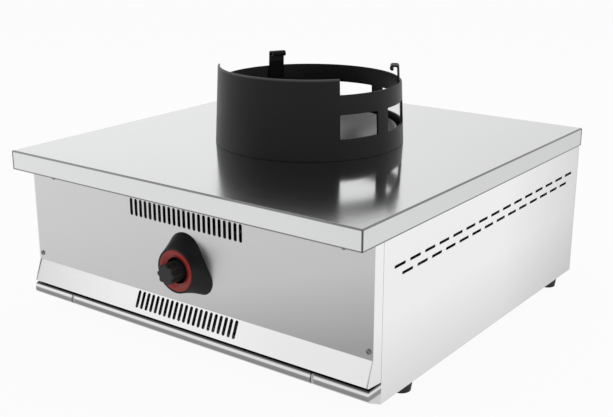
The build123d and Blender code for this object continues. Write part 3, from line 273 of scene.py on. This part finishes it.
def smooth_mesh(name, points, faces, angle=SHARP_ABOVE):
    """Mesh from points and faces with doubles merged, faces outwards and smooth below an angle."""
    mesh = bpy.data.meshes.new(name)
    mesh.from_pydata([tuple(p) for p in points], [], faces)
    work = bmesh.new()
    work.from_mesh(mesh)
    bmesh.ops.remove_doubles(work, verts=work.verts, dist=MERGE_BELOW)
    bmesh.ops.recalc_face_normals(work, faces=work.faces)
    work.to_mesh(mesh)
    work.free()
    mesh.shade_smooth()
    mesh.set_sharp_from_angle(angle=math.radians(angle))
    return mesh


def strip_faces(rows, columns, closed_rows):
    """Quads between rows of a closed section, capped at both ends unless the rows close up."""
    faces = []
    for i in range(rows if closed_rows else rows - 1):
        for j in range(columns):
            a = i * columns + j
            b = i * columns + (j + 1) % columns
            c = ((i + 1) % rows) * columns + (j + 1) % columns
            d = ((i + 1) % rows) * columns + j
            faces.append((a, b, c, d))
    if not closed_rows:
        faces.append(tuple(range(columns)))
        faces.append(tuple((rows - 1) * columns + j for j in reversed(range(columns))))
    return faces


def lathed(name, profile, sides, angle=SHARP_ABOVE):
    """Closed turned shape about the upright axis from (radius, height) pairs."""
    points = []
    for radius, height in profile:
        for k in range(sides):
            bend = 2 * math.pi * k / sides
            points.append((radius * math.cos(bend), radius * math.sin(bend), height))
    return smooth_mesh(name, points, strip_faces(len(profile), sides, False), angle)


def set_out(name, shape, places, turns, material):
    """Copies of a small shape on places, each turned its own way, joined by Geometry Nodes."""
    tree = bpy.data.node_groups.new(name + "_layout", "GeometryNodeTree")
    face = tree.interface
    face.new_socket(name="Geometry", in_out="INPUT", socket_type="NodeSocketGeometry")
    named = {"Shape": face.new_socket(name="Shape", in_out="INPUT", socket_type="NodeSocketObject"),
             "Size": face.new_socket(name="Size", in_out="INPUT", socket_type="NodeSocketFloat"),
             "Finish": face.new_socket(name="Finish", in_out="INPUT", socket_type="NodeSocketMaterial")}
    face.new_socket(name="Geometry", in_out="OUTPUT", socket_type="NodeSocketGeometry")
    entry = node_of(tree, "NodeGroupInput")
    leave = node_of(tree, "NodeGroupOutput")
    turned = node_of(tree, "GeometryNodeInputNamedAttribute", data_type="FLOAT_VECTOR", Name="turn")
    rotation = node_of(tree, "FunctionNodeEulerToRotation")
    pattern = node_of(tree, "GeometryNodeObjectInfo", transform_space="ORIGINAL")
    copies = node_of(tree, "GeometryNodeInstanceOnPoints")
    real = node_of(tree, "GeometryNodeRealizeInstances")
    coated = node_of(tree, "GeometryNodeSetMaterial")
    tree.links.new(entry.outputs["Shape"], pattern.inputs["Object"])
    tree.links.new(turned.outputs["Attribute"], rotation.inputs["Euler"])
    tree.links.new(entry.outputs["Geometry"], copies.inputs["Points"])
    tree.links.new(pattern.outputs["Geometry"], copies.inputs["Instance"])
    tree.links.new(rotation.outputs["Rotation"], copies.inputs["Rotation"])
    tree.links.new(entry.outputs["Size"], copies.inputs["Scale"])
    tree.links.new(copies.outputs["Instances"], real.inputs["Geometry"])
    tree.links.new(real.outputs["Geometry"], coated.inputs["Geometry"])
    tree.links.new(entry.outputs["Finish"], coated.inputs["Material"])
    tree.links.new(coated.outputs["Geometry"], leave.inputs["Geometry"])
    pattern_object = bpy.data.objects.new(name + "_shape", shape)
    carrier_mesh = bpy.data.meshes.new(name + "_places")
    carrier_mesh.from_pydata([tuple(p) for p in places], [], [])
    turn_data = carrier_mesh.attributes.new("turn", "FLOAT_VECTOR", "POINT")
    for item, turn in zip(turn_data.data, turns):
        item.vector = turn
    carrier = bpy.data.objects.new(name + "_carrier", carrier_mesh)
    for helper in (pattern_object, carrier):
        bpy.context.scene.collection.objects.link(helper)
    layout = carrier.modifiers.new("layout", "NODES")
    layout.node_group = tree
    for key, value in (("Shape", pattern_object), ("Size", 1.0), ("Finish", material)):
        layout[named[key].identifier] = value
    bpy.context.view_layer.update()
    graph = bpy.context.evaluated_depsgraph_get()
    made = bpy.data.meshes.new_from_object(carrier.evaluated_get(graph))
    carrier.modifiers.remove(layout)
    for helper in (pattern_object, carrier):
        bpy.data.objects.remove(helper)
    made.name = name
    made.set_sharp_from_angle(angle=math.radians(SHARP_ABOVE))
    return made


# The polish is a little duller towards the front edge, where hands and pans rub it.
polished = surface("polished_sheet", (0.72, 0.725, 0.73), rough=0.10, spread=0.015, scale=9.0,
                   bump=0.01, mottle=0.01)
# Painted shade in the folds and along the lip's lower edge.
grade(polished, UPWARDS, TOP_LOW, TOP_HIGH, FOLD_SHADE_TONES)
# Painted sheen across the top.
grade(polished, SHEEN_ACROSS, SHEEN_FROM, SHEEN_TO, PAINTED_SHEEN_TONES)
polish = polished.node_tree
dulled = node_of(polish, "ShaderNodeMath", operation="ADD")
dulled_at = node_of(polish, "ShaderNodeSeparateXYZ")
dulled_share = node_of(polish, "ShaderNodeMapRange")
dulled_share.inputs["From Min"].default_value = DULL_FROM
dulled_share.inputs["From Max"].default_value = TOP_FRONT
dulled_share.inputs["To Max"].default_value = DULL_MORE
polish.links.new(node_of(polish, "ShaderNodeTexCoord").outputs["Object"], dulled_at.inputs[0])
polish.links.new(dulled_at.outputs["Y"], dulled_share.inputs[0])
polish_rough = polish.nodes["Principled BSDF"].inputs["Roughness"]
polish.links.new(polish_rough.links[0].from_socket, dulled.inputs[0])
polish.links.new(dulled_share.outputs[0], dulled.inputs[1])
polish.links.new(dulled.outputs[0], polish_rough)
galvanised = surface("galvanised_sheet", (0.50, 0.51, 0.52), rough=0.42, spread=0.08, scale=60.0,
                     bump=0.10, mottle=0.10)
# Painted shade: a dark strip stands on each corner where the folded lips meet.
seam_shade_grey = surface("painted_seam_shade", (0.10, 0.10, 0.10), rough=0.45, spread=0.08, scale=160.0,
                    bump=0.20, mottle=0.15, stretch=(1.0, 1.0, 4.0))
finish_node("worktop", polished)
finish_node("front_stiffener", galvanised)
finish_node("rear_stiffener", galvanised)

seam_shape = lathed("corner_seam", SEAM_PROFILE, SEAM_SIDES)
seam_places = [(sx * (TOP_HALF - SEAM_INSET), y, TOP_LOW + SEAM_LIFT) for sx in (-1, 1)
               for y in (TOP_FRONT + SEAM_INSET, TOP_REAR - SEAM_INSET)]
seam_turns = [(0, 0, 0)] * len(seam_places)
# The corner strips carry painted shade.
add_piece("corner_seams", set_out("corner_seams", seam_shape, seam_places, seam_turns, seam_shade_grey),
          "casing", seam_shade_grey)

# ---------------------------------------------------------------- spill bowl
# Spun stainless bowl that stands on the worktop inside the wok ring: an upright collar, a rolled
# rim and a funnel down to the burner. Turning marks run round it.
spun = surface("spun_sheet", (0.22, 0.22, 0.223), rough=0.34, spread=0.06, scale=60.0,
               bump=0.06, mottle=0.04, stretch=(1.0, 1.0, 14.0))
finish_node("spill_bowl", spun)

# ---------------------------------------------------------------- wok ring
# Rolled black sheet that leans in a little: closed and higher at the front, with windows round
# the rest, and two folded tabs welded inside that help to carry the wok. It lifts off.
RING_AT = Vector((0.0, -0.00775, 0.25))
RING_FOOT = 0.1395
RING_LEAN = 0.0055 / 0.1125
RING_WALL = 0.003
RING_EDGE = 0.0007
RING_ROLL = 0.0022
EDGE_STEPS = 4
RIM_HIGH = 0.0905
SHIELD_HIGH = 0.1125
SHIELD_HALF = 54
SHIELD_STEP = 0.02
WINDOW_LOW = 0.0300
WINDOW_HIGH = 0.0635
WINDOW_ROUND = 0.0015
WINDOW_IN = 0.012
WINDOW_OUT = 0.006
CORNER_STEPS = 5
POST_FIRST = -5.0
POST_PITCH = 40.0
POST_WIDTH = 9.5
POSTS = 6
BLACK = (0.0055, 0.0055, 0.0058)
# Painted highlight: the top few millimetres of the shield's rim are made much lighter.
WALL_TONES_TO = 0.3625
RIM_HIGHLIGHT_TONES = ((0.0, 1.0), (0.972, 1.0), (0.984, 9.0), (1.0, 14.0))


def polar(radius, azimuth, height):
    """Point of the ring at a radius, an azimuth in degrees and a height above the worktop."""
    turn = math.radians(azimuth)
    return RING_AT + Vector((radius * math.cos(turn), radius * math.sin(turn), height))


def ring_section(azimuth, top):
    """Closed section of the leaning wall, its top edge rolled over and its other edges eased."""
    corners = ((RING_EDGE, RING_EDGE, RING_EDGE, 270), (RING_ROLL, top - RING_ROLL, RING_ROLL, 180),
               (RING_WALL - RING_EDGE, top - RING_EDGE, RING_EDGE, 90),
               (RING_WALL - RING_EDGE, RING_EDGE, RING_EDGE, 0))
    section = []
    for depth, up, radius, first in corners:
        for step in range(EDGE_STEPS + 1):
            bend = math.radians(first - 90 * step / EDGE_STEPS)
            height = up + radius * math.sin(bend)
            inset = depth + radius * math.cos(bend)
            section.append(polar(RING_FOOT - RING_LEAN * height - inset, azimuth, height))
    return section


def window_outline(start, end):
    """Corners and edges of one window as (azimuth, height) pairs."""
    turn = math.degrees(WINDOW_ROUND / RING_FOOT)
    run = max(2, int((end - start) / 2))
    corners = ((end - turn, WINDOW_HIGH - WINDOW_ROUND, 0), (start + turn, WINDOW_HIGH - WINDOW_ROUND, 90),
               (start + turn, WINDOW_LOW + WINDOW_ROUND, 180), (end - turn, WINDOW_LOW + WINDOW_ROUND, 270))
    outline = []
    for azimuth, height, first in corners:
        for step in range(CORNER_STEPS + 1):
            bend = math.radians(first + 90 * step / CORNER_STEPS)
            outline.append((azimuth + turn * math.cos(bend), height + WINDOW_ROUND * math.sin(bend)))
        if first in (0, 180):
            goal = start + turn if first == 0 else end - turn
            level = WINDOW_HIGH if first == 0 else WINDOW_LOW
            outline += [(azimuth + (goal - azimuth) * k / run, level) for k in range(1, run)]
    return outline


def cut_away(name, blank_mesh, cutter_mesh):
    """Mesh left of a blank when a cutter is taken from it."""
    blank = bpy.data.objects.new(name + "_blank", blank_mesh)
    cutter = bpy.data.objects.new(name + "_cutter", cutter_mesh)
    for helper in (blank, cutter):
        bpy.context.scene.collection.objects.link(helper)
    cut = blank.modifiers.new("cut", "BOOLEAN")
    cut.operation = "DIFFERENCE"
    cut.solver = "EXACT"
    cut.object = cutter
    bpy.context.view_layer.update()
    left = bpy.data.meshes.new_from_object(blank.evaluated_get(bpy.context.evaluated_depsgraph_get()))
    for helper in (blank, cutter):
        bpy.data.objects.remove(helper)
    left.name = name
    left.set_sharp_from_angle(angle=math.radians(SHARP_ABOVE))
    return left


shield_from = 270 - SHIELD_HALF
shield_to = 270 + SHIELD_HALF
ring_rows = [(azimuth, RIM_HIGH) for azimuth in range(shield_to - 360, shield_from + 1)]
ring_rows.append((shield_from + SHIELD_STEP, SHIELD_HIGH))
ring_rows += [(azimuth, SHIELD_HIGH) for azimuth in range(shield_from + 1, shield_to)]
ring_rows.append((shield_to - SHIELD_STEP, SHIELD_HIGH))
ring_points = []
for azimuth, top in ring_rows:
    ring_points += ring_section(azimuth, top)
ring_mesh = smooth_mesh("ring_wall", ring_points, strip_faces(len(ring_rows), 4 * (EDGE_STEPS + 1), True))

posts = [POST_FIRST + i * POST_PITCH for i in range(POSTS)]
window_starts = [shield_to - 360] + [post + POST_WIDTH / 2 for post in posts]
window_ends = [post - POST_WIDTH / 2 for post in posts] + [shield_from]
cut_points, cut_faces = [], []
for start, end in zip(window_starts, window_ends):
    outline = window_outline(start, end)
    base = len(cut_points)
    for radius in (RING_FOOT - WINDOW_IN, RING_FOOT + WINDOW_OUT):
        cut_points += [polar(radius, azimuth, height) for azimuth, height in outline]
    cut_faces += [tuple(base + f for f in face) for face in strip_faces(2, len(outline), False)]
ring_cut = cut_away("wok_ring_wall", ring_mesh, smooth_mesh("ring_windows", cut_points, cut_faces))

# A painted highlight lightens a line along the top of the shield's rim.
matt_black = surface("matt_black_enamel", BLACK, rough=0.40, spread=0.05, scale=260.0,
                     bump=0.05, mottle=0.12, metal=0.0, gloss=0.20)
grade(matt_black, UPWARDS, TOP_HIGH, WALL_TONES_TO, RIM_HIGHLIGHT_TONES)
add_piece("wok_ring_wall", ring_cut, "wok_ring", matt_black,
          ("ring_base_hoop", "ring_uprights", "ring_top_hoop", "ring_front_shield"))

# The tabs: strips folded over and curled back at the top, with a bead of weld down each side.
TAB_MIDDLES = (30.0, 150.0)
TAB_WIDTH = 10.6
TAB_STEPS = 8
TAB_FOOT = 0.066
TAB_TOP = 0.114
TAB_REACH = 0.013
TAB_TIP = 0.0078
TAB_SHEET = 0.0025
TAB_FOLD = 0.0036
TAB_CURL = 0.0012
TAB_GAP = 0.0001
FOLD_STEPS = 5
# Painted shade on the tabs' lower part inside the ring, and a painted highlight in a band under the curled
# tip.
TAB_TONES_FROM = 0.315
TAB_TONES_TO = 0.3645
TAB_SHADE_AND_HIGHLIGHT_TONES = ((0.0, 0.35), (0.64, 0.35), (0.70, 3.0), (0.82, 3.0), (0.87, 1.0), (1.0, 1.0))
TAB_SHARP_ABOVE = 40.0
BEAD_RADIUS = 0.0016
BEAD_FLAT = 0.6
BEAD_SIDES = 8
BEAD_SHARP_ABOVE = 60.0
BEAD_PROFILE = ((0.0, BEAD_FLAT * BEAD_RADIUS), (0.7 * BEAD_RADIUS, 0.45 * BEAD_RADIUS), (BEAD_RADIUS, 0.0),
                (0.7 * BEAD_RADIUS, -0.45 * BEAD_RADIUS), (0.0, -BEAD_FLAT * BEAD_RADIUS))
BEAD_LOW = 0.068
BEAD_PITCH = 0.0019
BEADS = 10


def behind_wall(height):
    """Radius of the tabs' outer face at a height."""
    return RING_FOOT - RING_LEAN * height - RING_WALL - TAB_GAP


def tab_section(azimuth):
    """Closed section of a tab: up the wall, over the fold, down and curled back at its tip."""
    near_wall = behind_wall(TAB_TOP) - TAB_FOLD
    near_tip = behind_wall(TAB_TOP) - TAB_REACH + TAB_FOLD
    outside = [(behind_wall(TAB_FOOT), TAB_FOOT)]
    for centre, level, first in ((near_wall, TAB_TOP - TAB_FOLD, 0), (near_tip, TAB_TOP - TAB_FOLD, 90),
                                 (near_tip, TAB_TOP - TAB_TIP + TAB_FOLD, 180)):
        for step in range(FOLD_STEPS + 1):
            bend = math.radians(first + 90 * step / FOLD_STEPS)
            outside.append((centre + TAB_FOLD * math.cos(bend), level + TAB_FOLD * math.sin(bend)))
    outside.append((near_tip + TAB_CURL, TAB_TOP - TAB_TIP))
    inside = []
    for i, (radius, height) in enumerate(outside):
        before = outside[max(i - 1, 0)]
        after = outside[min(i + 1, len(outside) - 1)]
        run = Vector((after[0] - before[0], after[1] - before[1])).normalized()
        inside.append((radius - run.y * TAB_SHEET, height + run.x * TAB_SHEET))
    return [polar(radius, azimuth, height) for radius, height in outside + inside[::-1]]


tab_black = surface("tab_black_enamel", BLACK, rough=0.46, spread=0.05, scale=260.0,
                    bump=0.05, mottle=0.12, metal=0.0, gloss=0.10)
# Painted shade low on the tabs and a painted highlight under their curled tips.
grade(tab_black, UPWARDS, TAB_TONES_FROM, TAB_TONES_TO, TAB_SHADE_AND_HIGHLIGHT_TONES)
tab_points, tab_faces = [], []
for middle in TAB_MIDDLES:
    base = len(tab_points)
    for step in range(TAB_STEPS + 1):
        section = tab_section(middle + TAB_WIDTH * (step / TAB_STEPS - 0.5))
        tab_points += section
    tab_faces += [tuple(base + f for f in face) for face in strip_faces(TAB_STEPS + 1, len(section), False)]
add_piece("wok_ring_tabs", smooth_mesh("wok_ring_tabs", tab_points, tab_faces, TAB_SHARP_ABOVE),
          "wok_ring", tab_black, ("ring_lugs",))

bead_shape = lathed("weld_bead", BEAD_PROFILE, BEAD_SIDES, BEAD_SHARP_ABOVE)
bead_places, bead_turns = [], []
for middle in TAB_MIDDLES:
    for side in (-1, 1):
        for k in range(BEADS):
            azimuth = middle + side * TAB_WIDTH / 2
            height = BEAD_LOW + k * BEAD_PITCH
            bead_places.append(polar(behind_wall(height) - BEAD_FLAT * BEAD_RADIUS / 2, azimuth, height))
            bead_turns.append((0.0, math.radians(90), math.radians(azimuth)))
add_piece("tab_welds", set_out("tab_welds", bead_shape, bead_places, bead_turns, tab_black),
          "wok_ring", tab_black)

# ---------------------------------------------------------------- casing
# Bright cold-rolled side panels with two rows of slots, a brushed fascia with its flared vent panel,
# bright end caps, and a folded rail along the foot whose middle length belongs to the drip tray.
FOOT_LEVEL = 0.014
RAIL_LEVEL = 0.0425
SIDE_FRONT = -0.27
SIDE_REAR = 0.30
# Painted shade: the bright side panels and end caps darken towards the rear and towards the foot.
SIDE_DEPTH_SHADE = ((0.0, 1.0), (0.55, 1.0), (1.0, 0.78))
SIDE_FOOT_SHADE = ((0.0, 0.78), (0.45, 0.97), (1.0, 1.0))
# Painted light and shade: the fascia is lighter at the upper left and darker towards the lower right.
FASCIA_ACROSS = (0.35, 0.0, -1.0)
FASCIA_FROM = -0.352
FASCIA_TO = 0.010
FASCIA_SHADE_TONES = ((0.0, 1.05), (0.45, 0.96), (0.72, 0.88), (1.0, 0.55))
VENT_HALF = 0.2961
# Painted shade and highlight on the flared vent panel: a dark line at each end, darker towards the left,
# brightest right of the middle.
VENT_SHADE_TONES = ((0.0, 0.40), (0.0020, 0.74), (0.30, 0.92), (0.6, 1.04), (0.9975, 0.98), (0.9985, 0.35))
# Painted shade and highlight on the rail: its nose face darker, a painted highlight on the upper rounding,
# painted shadow along its top.
RAIL_SHADE_AND_HIGHLIGHT_TONES = ((0.0, 0.98), (0.50, 0.98), (0.56, 0.38), (0.74, 0.42),
              (0.80, 1.20), (0.88, 1.20), (0.93, 0.20), (1.0, 0.14))
BRUSHED = (1.0, 60.0, 60.0)

bright = surface("bright_sheet", (0.90, 0.90, 0.90), rough=0.24, spread=0.01, scale=9.0,
                 bump=0.004, mottle=0.01)
# Painted shade towards the rear and the foot.
grade(bright, (0.0, 1.0, 0.0), SIDE_FRONT, SIDE_REAR, SIDE_DEPTH_SHADE)
grade(bright, UPWARDS, FOOT_LEVEL, TOP_HIGH, SIDE_FOOT_SHADE)
fascia_brush = surface("brushed_fascia", (0.62, 0.62, 0.62), rough=0.30, spread=0.06, scale=12.0,
                       bump=0.08, mottle=0.03, stretch=BRUSHED)
# Painted light and shade across the fascia.
grade(fascia_brush, FASCIA_ACROSS, FASCIA_FROM, FASCIA_TO, FASCIA_SHADE_TONES)
vent_brush = surface("brushed_vent", (0.82, 0.82, 0.82), rough=0.24, spread=0.04, scale=12.0,
                     bump=0.05, mottle=0.02, stretch=BRUSHED)
# Painted shade and highlight along the vent panel.
grade(vent_brush, (1.0, 0.0, 0.0), -VENT_HALF, VENT_HALF, VENT_SHADE_TONES)
rail_brush = surface("brushed_rail", (0.62, 0.62, 0.62), rough=0.22, spread=0.04, scale=12.0,
                     bump=0.05, mottle=0.03, stretch=BRUSHED)
# Painted shade and highlight up the rail's nose.
grade(rail_brush, UPWARDS, FOOT_LEVEL, RAIL_LEVEL, RAIL_SHADE_AND_HIGHLIGHT_TONES)
for name in ("left_side_panel", "right_side_panel", "left_end_cap", "right_end_cap"):
    finish_node(name, bright)
for name in ("left_rail_stub", "right_rail_stub", "tray_front"):
    finish_node(name, rail_brush)
finish_node("front_fascia", fascia_brush)

# A folded flange closes the inner end of each rail stub, set back behind the rail's face.
FLANGE_NEAR = 0.2134
FLANGE_FAR = 0.2185
FLANGE_ROUND = 0.0048
FLANGE_SECTION = ((-0.2692, 0.0156), (-0.2963, 0.0290), (-0.2963, 0.0410), (-0.2692, 0.0413))
ROUND_STEPS = 6


def eased(section, corners, radius):
    """Section with some of its corners rounded by arcs."""
    made = []
    for i, (across, up) in enumerate(section):
        here = Vector((across, up))
        if i not in corners:
            made.append(here)
            continue
        to_last = (Vector(section[i - 1]) - here).normalized()
        to_next = (Vector(section[(i + 1) % len(section)]) - here).normalized()
        half = to_last.angle(to_next) / 2
        middle = here + (to_last + to_next).normalized() * radius / math.sin(half)
        first = here + to_last * radius / math.tan(half) - middle
        last = here + to_next * radius / math.tan(half) - middle
        start = math.atan2(first.y, first.x)
        swing = math.remainder(math.atan2(last.y, last.x) - start, 2 * math.pi)
        for step in range(ROUND_STEPS + 1):
            bend = start + swing * step / ROUND_STEPS
            made.append(middle + radius * Vector((math.cos(bend), math.sin(bend))))
    return made


flange_outline = eased(FLANGE_SECTION, (1, 2), FLANGE_ROUND)
flange_points, flange_faces = [], []
for side in (-1, 1):
    base = len(flange_points)
    for x in (side * FLANGE_NEAR, side * FLANGE_FAR):
        flange_points += [(x, y, z) for y, z in flange_outline]
    flange_faces += [tuple(base + f for f in face) for face in strip_faces(2, len(flange_outline), False)]
flange_steel = surface("flange_steel", (0.40, 0.40, 0.40), rough=0.35, spread=0.05, scale=60.0,
                       bump=0.05, mottle=0.04)
add_piece("rail_stub_flanges", smooth_mesh("rail_stub_flanges", flange_points, flange_faces),
          "casing", flange_steel)
finish_node("lower_vent_panel", vent_brush)
for name in ("back_panel", "base_panel", "left_fascia_angle", "right_fascia_angle",
             "left_tray_guide", "right_tray_guide", "drip_tray_pan"):
    finish_node(name, galvanised)

# ---------------------------------------------------------------- knob
# Moulded black cover with a red ring in its collar and a lobed black grip on the valve's spindle.
moulded = surface("moulded_black", (0.006, 0.006, 0.0064), rough=0.42, spread=0.05, scale=500.0,
                  bump=0.06, mottle=0.10, metal=0.0, gloss=0.22)
gripped = surface("grip_black", (0.017, 0.017, 0.018), rough=0.48, spread=0.06, scale=700.0,
                  bump=0.10, mottle=0.10, metal=0.0, gloss=0.30)
red_gloss = surface("red_moulding", (0.30, 0.022, 0.016), rough=0.30, spread=0.04, scale=300.0,
                    bump=0.02, mottle=0.05, metal=0.0, gloss=0.30)
finish_node("knob_bezel", moulded)
finish_node("bezel_ring", red_gloss)
finish_node("knob_grip", gripped)
finish_node("knob_hub", gripped)

# ---------------------------------------------------------------- feet and screws
# Rubber feet held by machine screws, and domed cross-recess screws in the sheets and the tap.
HEAD_RADIUS = 0.0036
HEAD_HEIGHT = 0.0022
SHANK_RADIUS = 0.0020
SHANK_LENGTH = 0.006
THREAD_PITCH = 0.0008
THREAD_DEPTH = 0.0003
DOME_STEPS = 7
DOME_SHARE = 0.7
HEAD_SIDES = 28
CROSS_ARM = 0.62
CROSS_HALF = 0.13
CROSS_ABOVE = 1.5
CROSS_BOTTOM = 0.25
CROSS_TAPER = 0.6
FOOT_SCALE = 1.5
SCREW_TURN = 0.7
FASCIA_FACE = -0.28525
BACK_FACE = 0.30225
VALVE_FACE = -0.26325
DOWNWARDS = 180


def screw_shape(name, scale):
    """Domed screw, head up, base of the head at the origin, with a cross recess and a thread."""
    head, height, shank = scale * HEAD_RADIUS, scale * HEAD_HEIGHT, scale * SHANK_RADIUS
    profile = [(0.0, height)]
    for step in range(1, DOME_STEPS + 1):
        bend = math.radians(90 * step / DOME_STEPS)
        profile.append((head * math.sin(bend), height * (1 - DOME_SHARE + DOME_SHARE * math.cos(bend))))
    profile += [(head, 0.0), (shank, 0.0)]
    turns = int(scale * SHANK_LENGTH / THREAD_PITCH) - 1
    for k in range(turns):
        root = -THREAD_PITCH * (k + 1)
        profile += [(shank - THREAD_DEPTH, root), (shank, root - THREAD_PITCH / 2)]
    profile += [(shank - THREAD_DEPTH, -THREAD_PITCH * (turns + 1)), (0.0, -THREAD_PITCH * (turns + 1))]
    arm, half = CROSS_ARM * head, CROSS_HALF * head
    cross = [(half, arm), (-half, arm), (-half, half), (-arm, half), (-arm, -half), (-half, -half),
             (-half, -arm), (half, -arm), (half, -half), (arm, -half), (arm, half), (half, half)]
    points = [(x, y, CROSS_ABOVE * height) for x, y in cross]
    points += [(CROSS_TAPER * x, CROSS_TAPER * y, CROSS_BOTTOM * height) for x, y in cross]
    recess = smooth_mesh(name + "_recess", points, strip_faces(2, len(cross), False))
    return cut_away(name, lathed(name + "_blank", profile, HEAD_SIDES), recess)


rubber = surface("foot_rubber", (0.014, 0.014, 0.014), rough=0.62, spread=0.08, scale=500.0,
                 bump=0.15, mottle=0.15, metal=0.0, gloss=0.30)
screw_steel = surface("screw_steel", (0.20, 0.20, 0.205), rough=0.28, spread=0.06, scale=300.0,
                      bump=0.05, mottle=0.05)
for name in ("front_left_foot", "front_right_foot", "rear_left_foot", "rear_right_foot"):
    finish_node(name, rubber)
finish_node("foot_nuts", screw_steel)

small_screw = screw_shape("sheet_screw", 1.0)
foot_screw = screw_shape("foot_screw", FOOT_SCALE)
fascia_places = [(sx * 0.290, FASCIA_FACE, 0.08751) for sx in (-1, 1)]
fascia_places += [(sx * 0.253, FASCIA_FACE, 0.2105) for sx in (-1, 0, 1)]
back_places = [(sx * 0.286, BACK_FACE, z) for sx in (-1, 1) for z in (0.026, 0.210)]
foot_places = [(sx * 0.282, y, 0.006) for sx in (-1, 1) for y in (-0.19575, 0.25025)]
tap_places = [(-0.0135, VALVE_FACE, 0.143), (0.0135, VALVE_FACE, 0.116)]
for name, shape, places, tip in (("fascia_screws", small_screw, fascia_places, 90),
                                 ("back_screws", small_screw, back_places, -90),
                                 ("foot_screws", foot_screw, foot_places, DOWNWARDS),
                                 ("valve_screws", small_screw, tap_places, 90)):
    turns = []
    for k in range(len(places)):
        spin = SCREW_TURN * k
        turns.append((math.radians(tip), 0.0, spin) if tip == DOWNWARDS else (math.radians(tip), spin, 0.0))
    add_piece(name + "_crossed", set_out(name + "_crossed", shape, places, turns, screw_steel),
              "casing", screw_steel, (name,))

# ---------------------------------------------------------------- gas line, valve and burner
# Brass valve and fittings, drawn aluminium pipes and an iron burner, all under the worktop.
brass = surface("machined_brass", (0.62, 0.43, 0.17), rough=0.28, spread=0.08, scale=90.0,
                bump=0.06, mottle=0.06)
drawn = surface("drawn_tube", (0.66, 0.66, 0.67), rough=0.30, spread=0.06, scale=80.0,
                bump=0.05, mottle=0.05)
iron = surface("cast_iron", (0.040, 0.039, 0.038), rough=0.62, spread=0.12, scale=260.0,
               bump=0.45, mottle=0.25, metal=0.4)
for name in ("valve_spindle", "valve_plug", "valve_body", "safety_magnet", "gas_inlet",
             "inlet_locknut", "pilot_burner", "pipe_nuts", "injector", "injector_elbow"):
    finish_node(name, brass)
for name in ("supply_pipe", "feed_pipe", "pilot_pipe", "sensor_lead", "heat_sensor"):
    finish_node(name, drawn)
for name in ("burner_body", "burner_crown"):
    finish_node(name, iron)
for name in ("valve_bracket", "pilot_bracket", "pipe_clips", "burner_bridge", "air_shutter"):
    finish_node(name, galvanised)
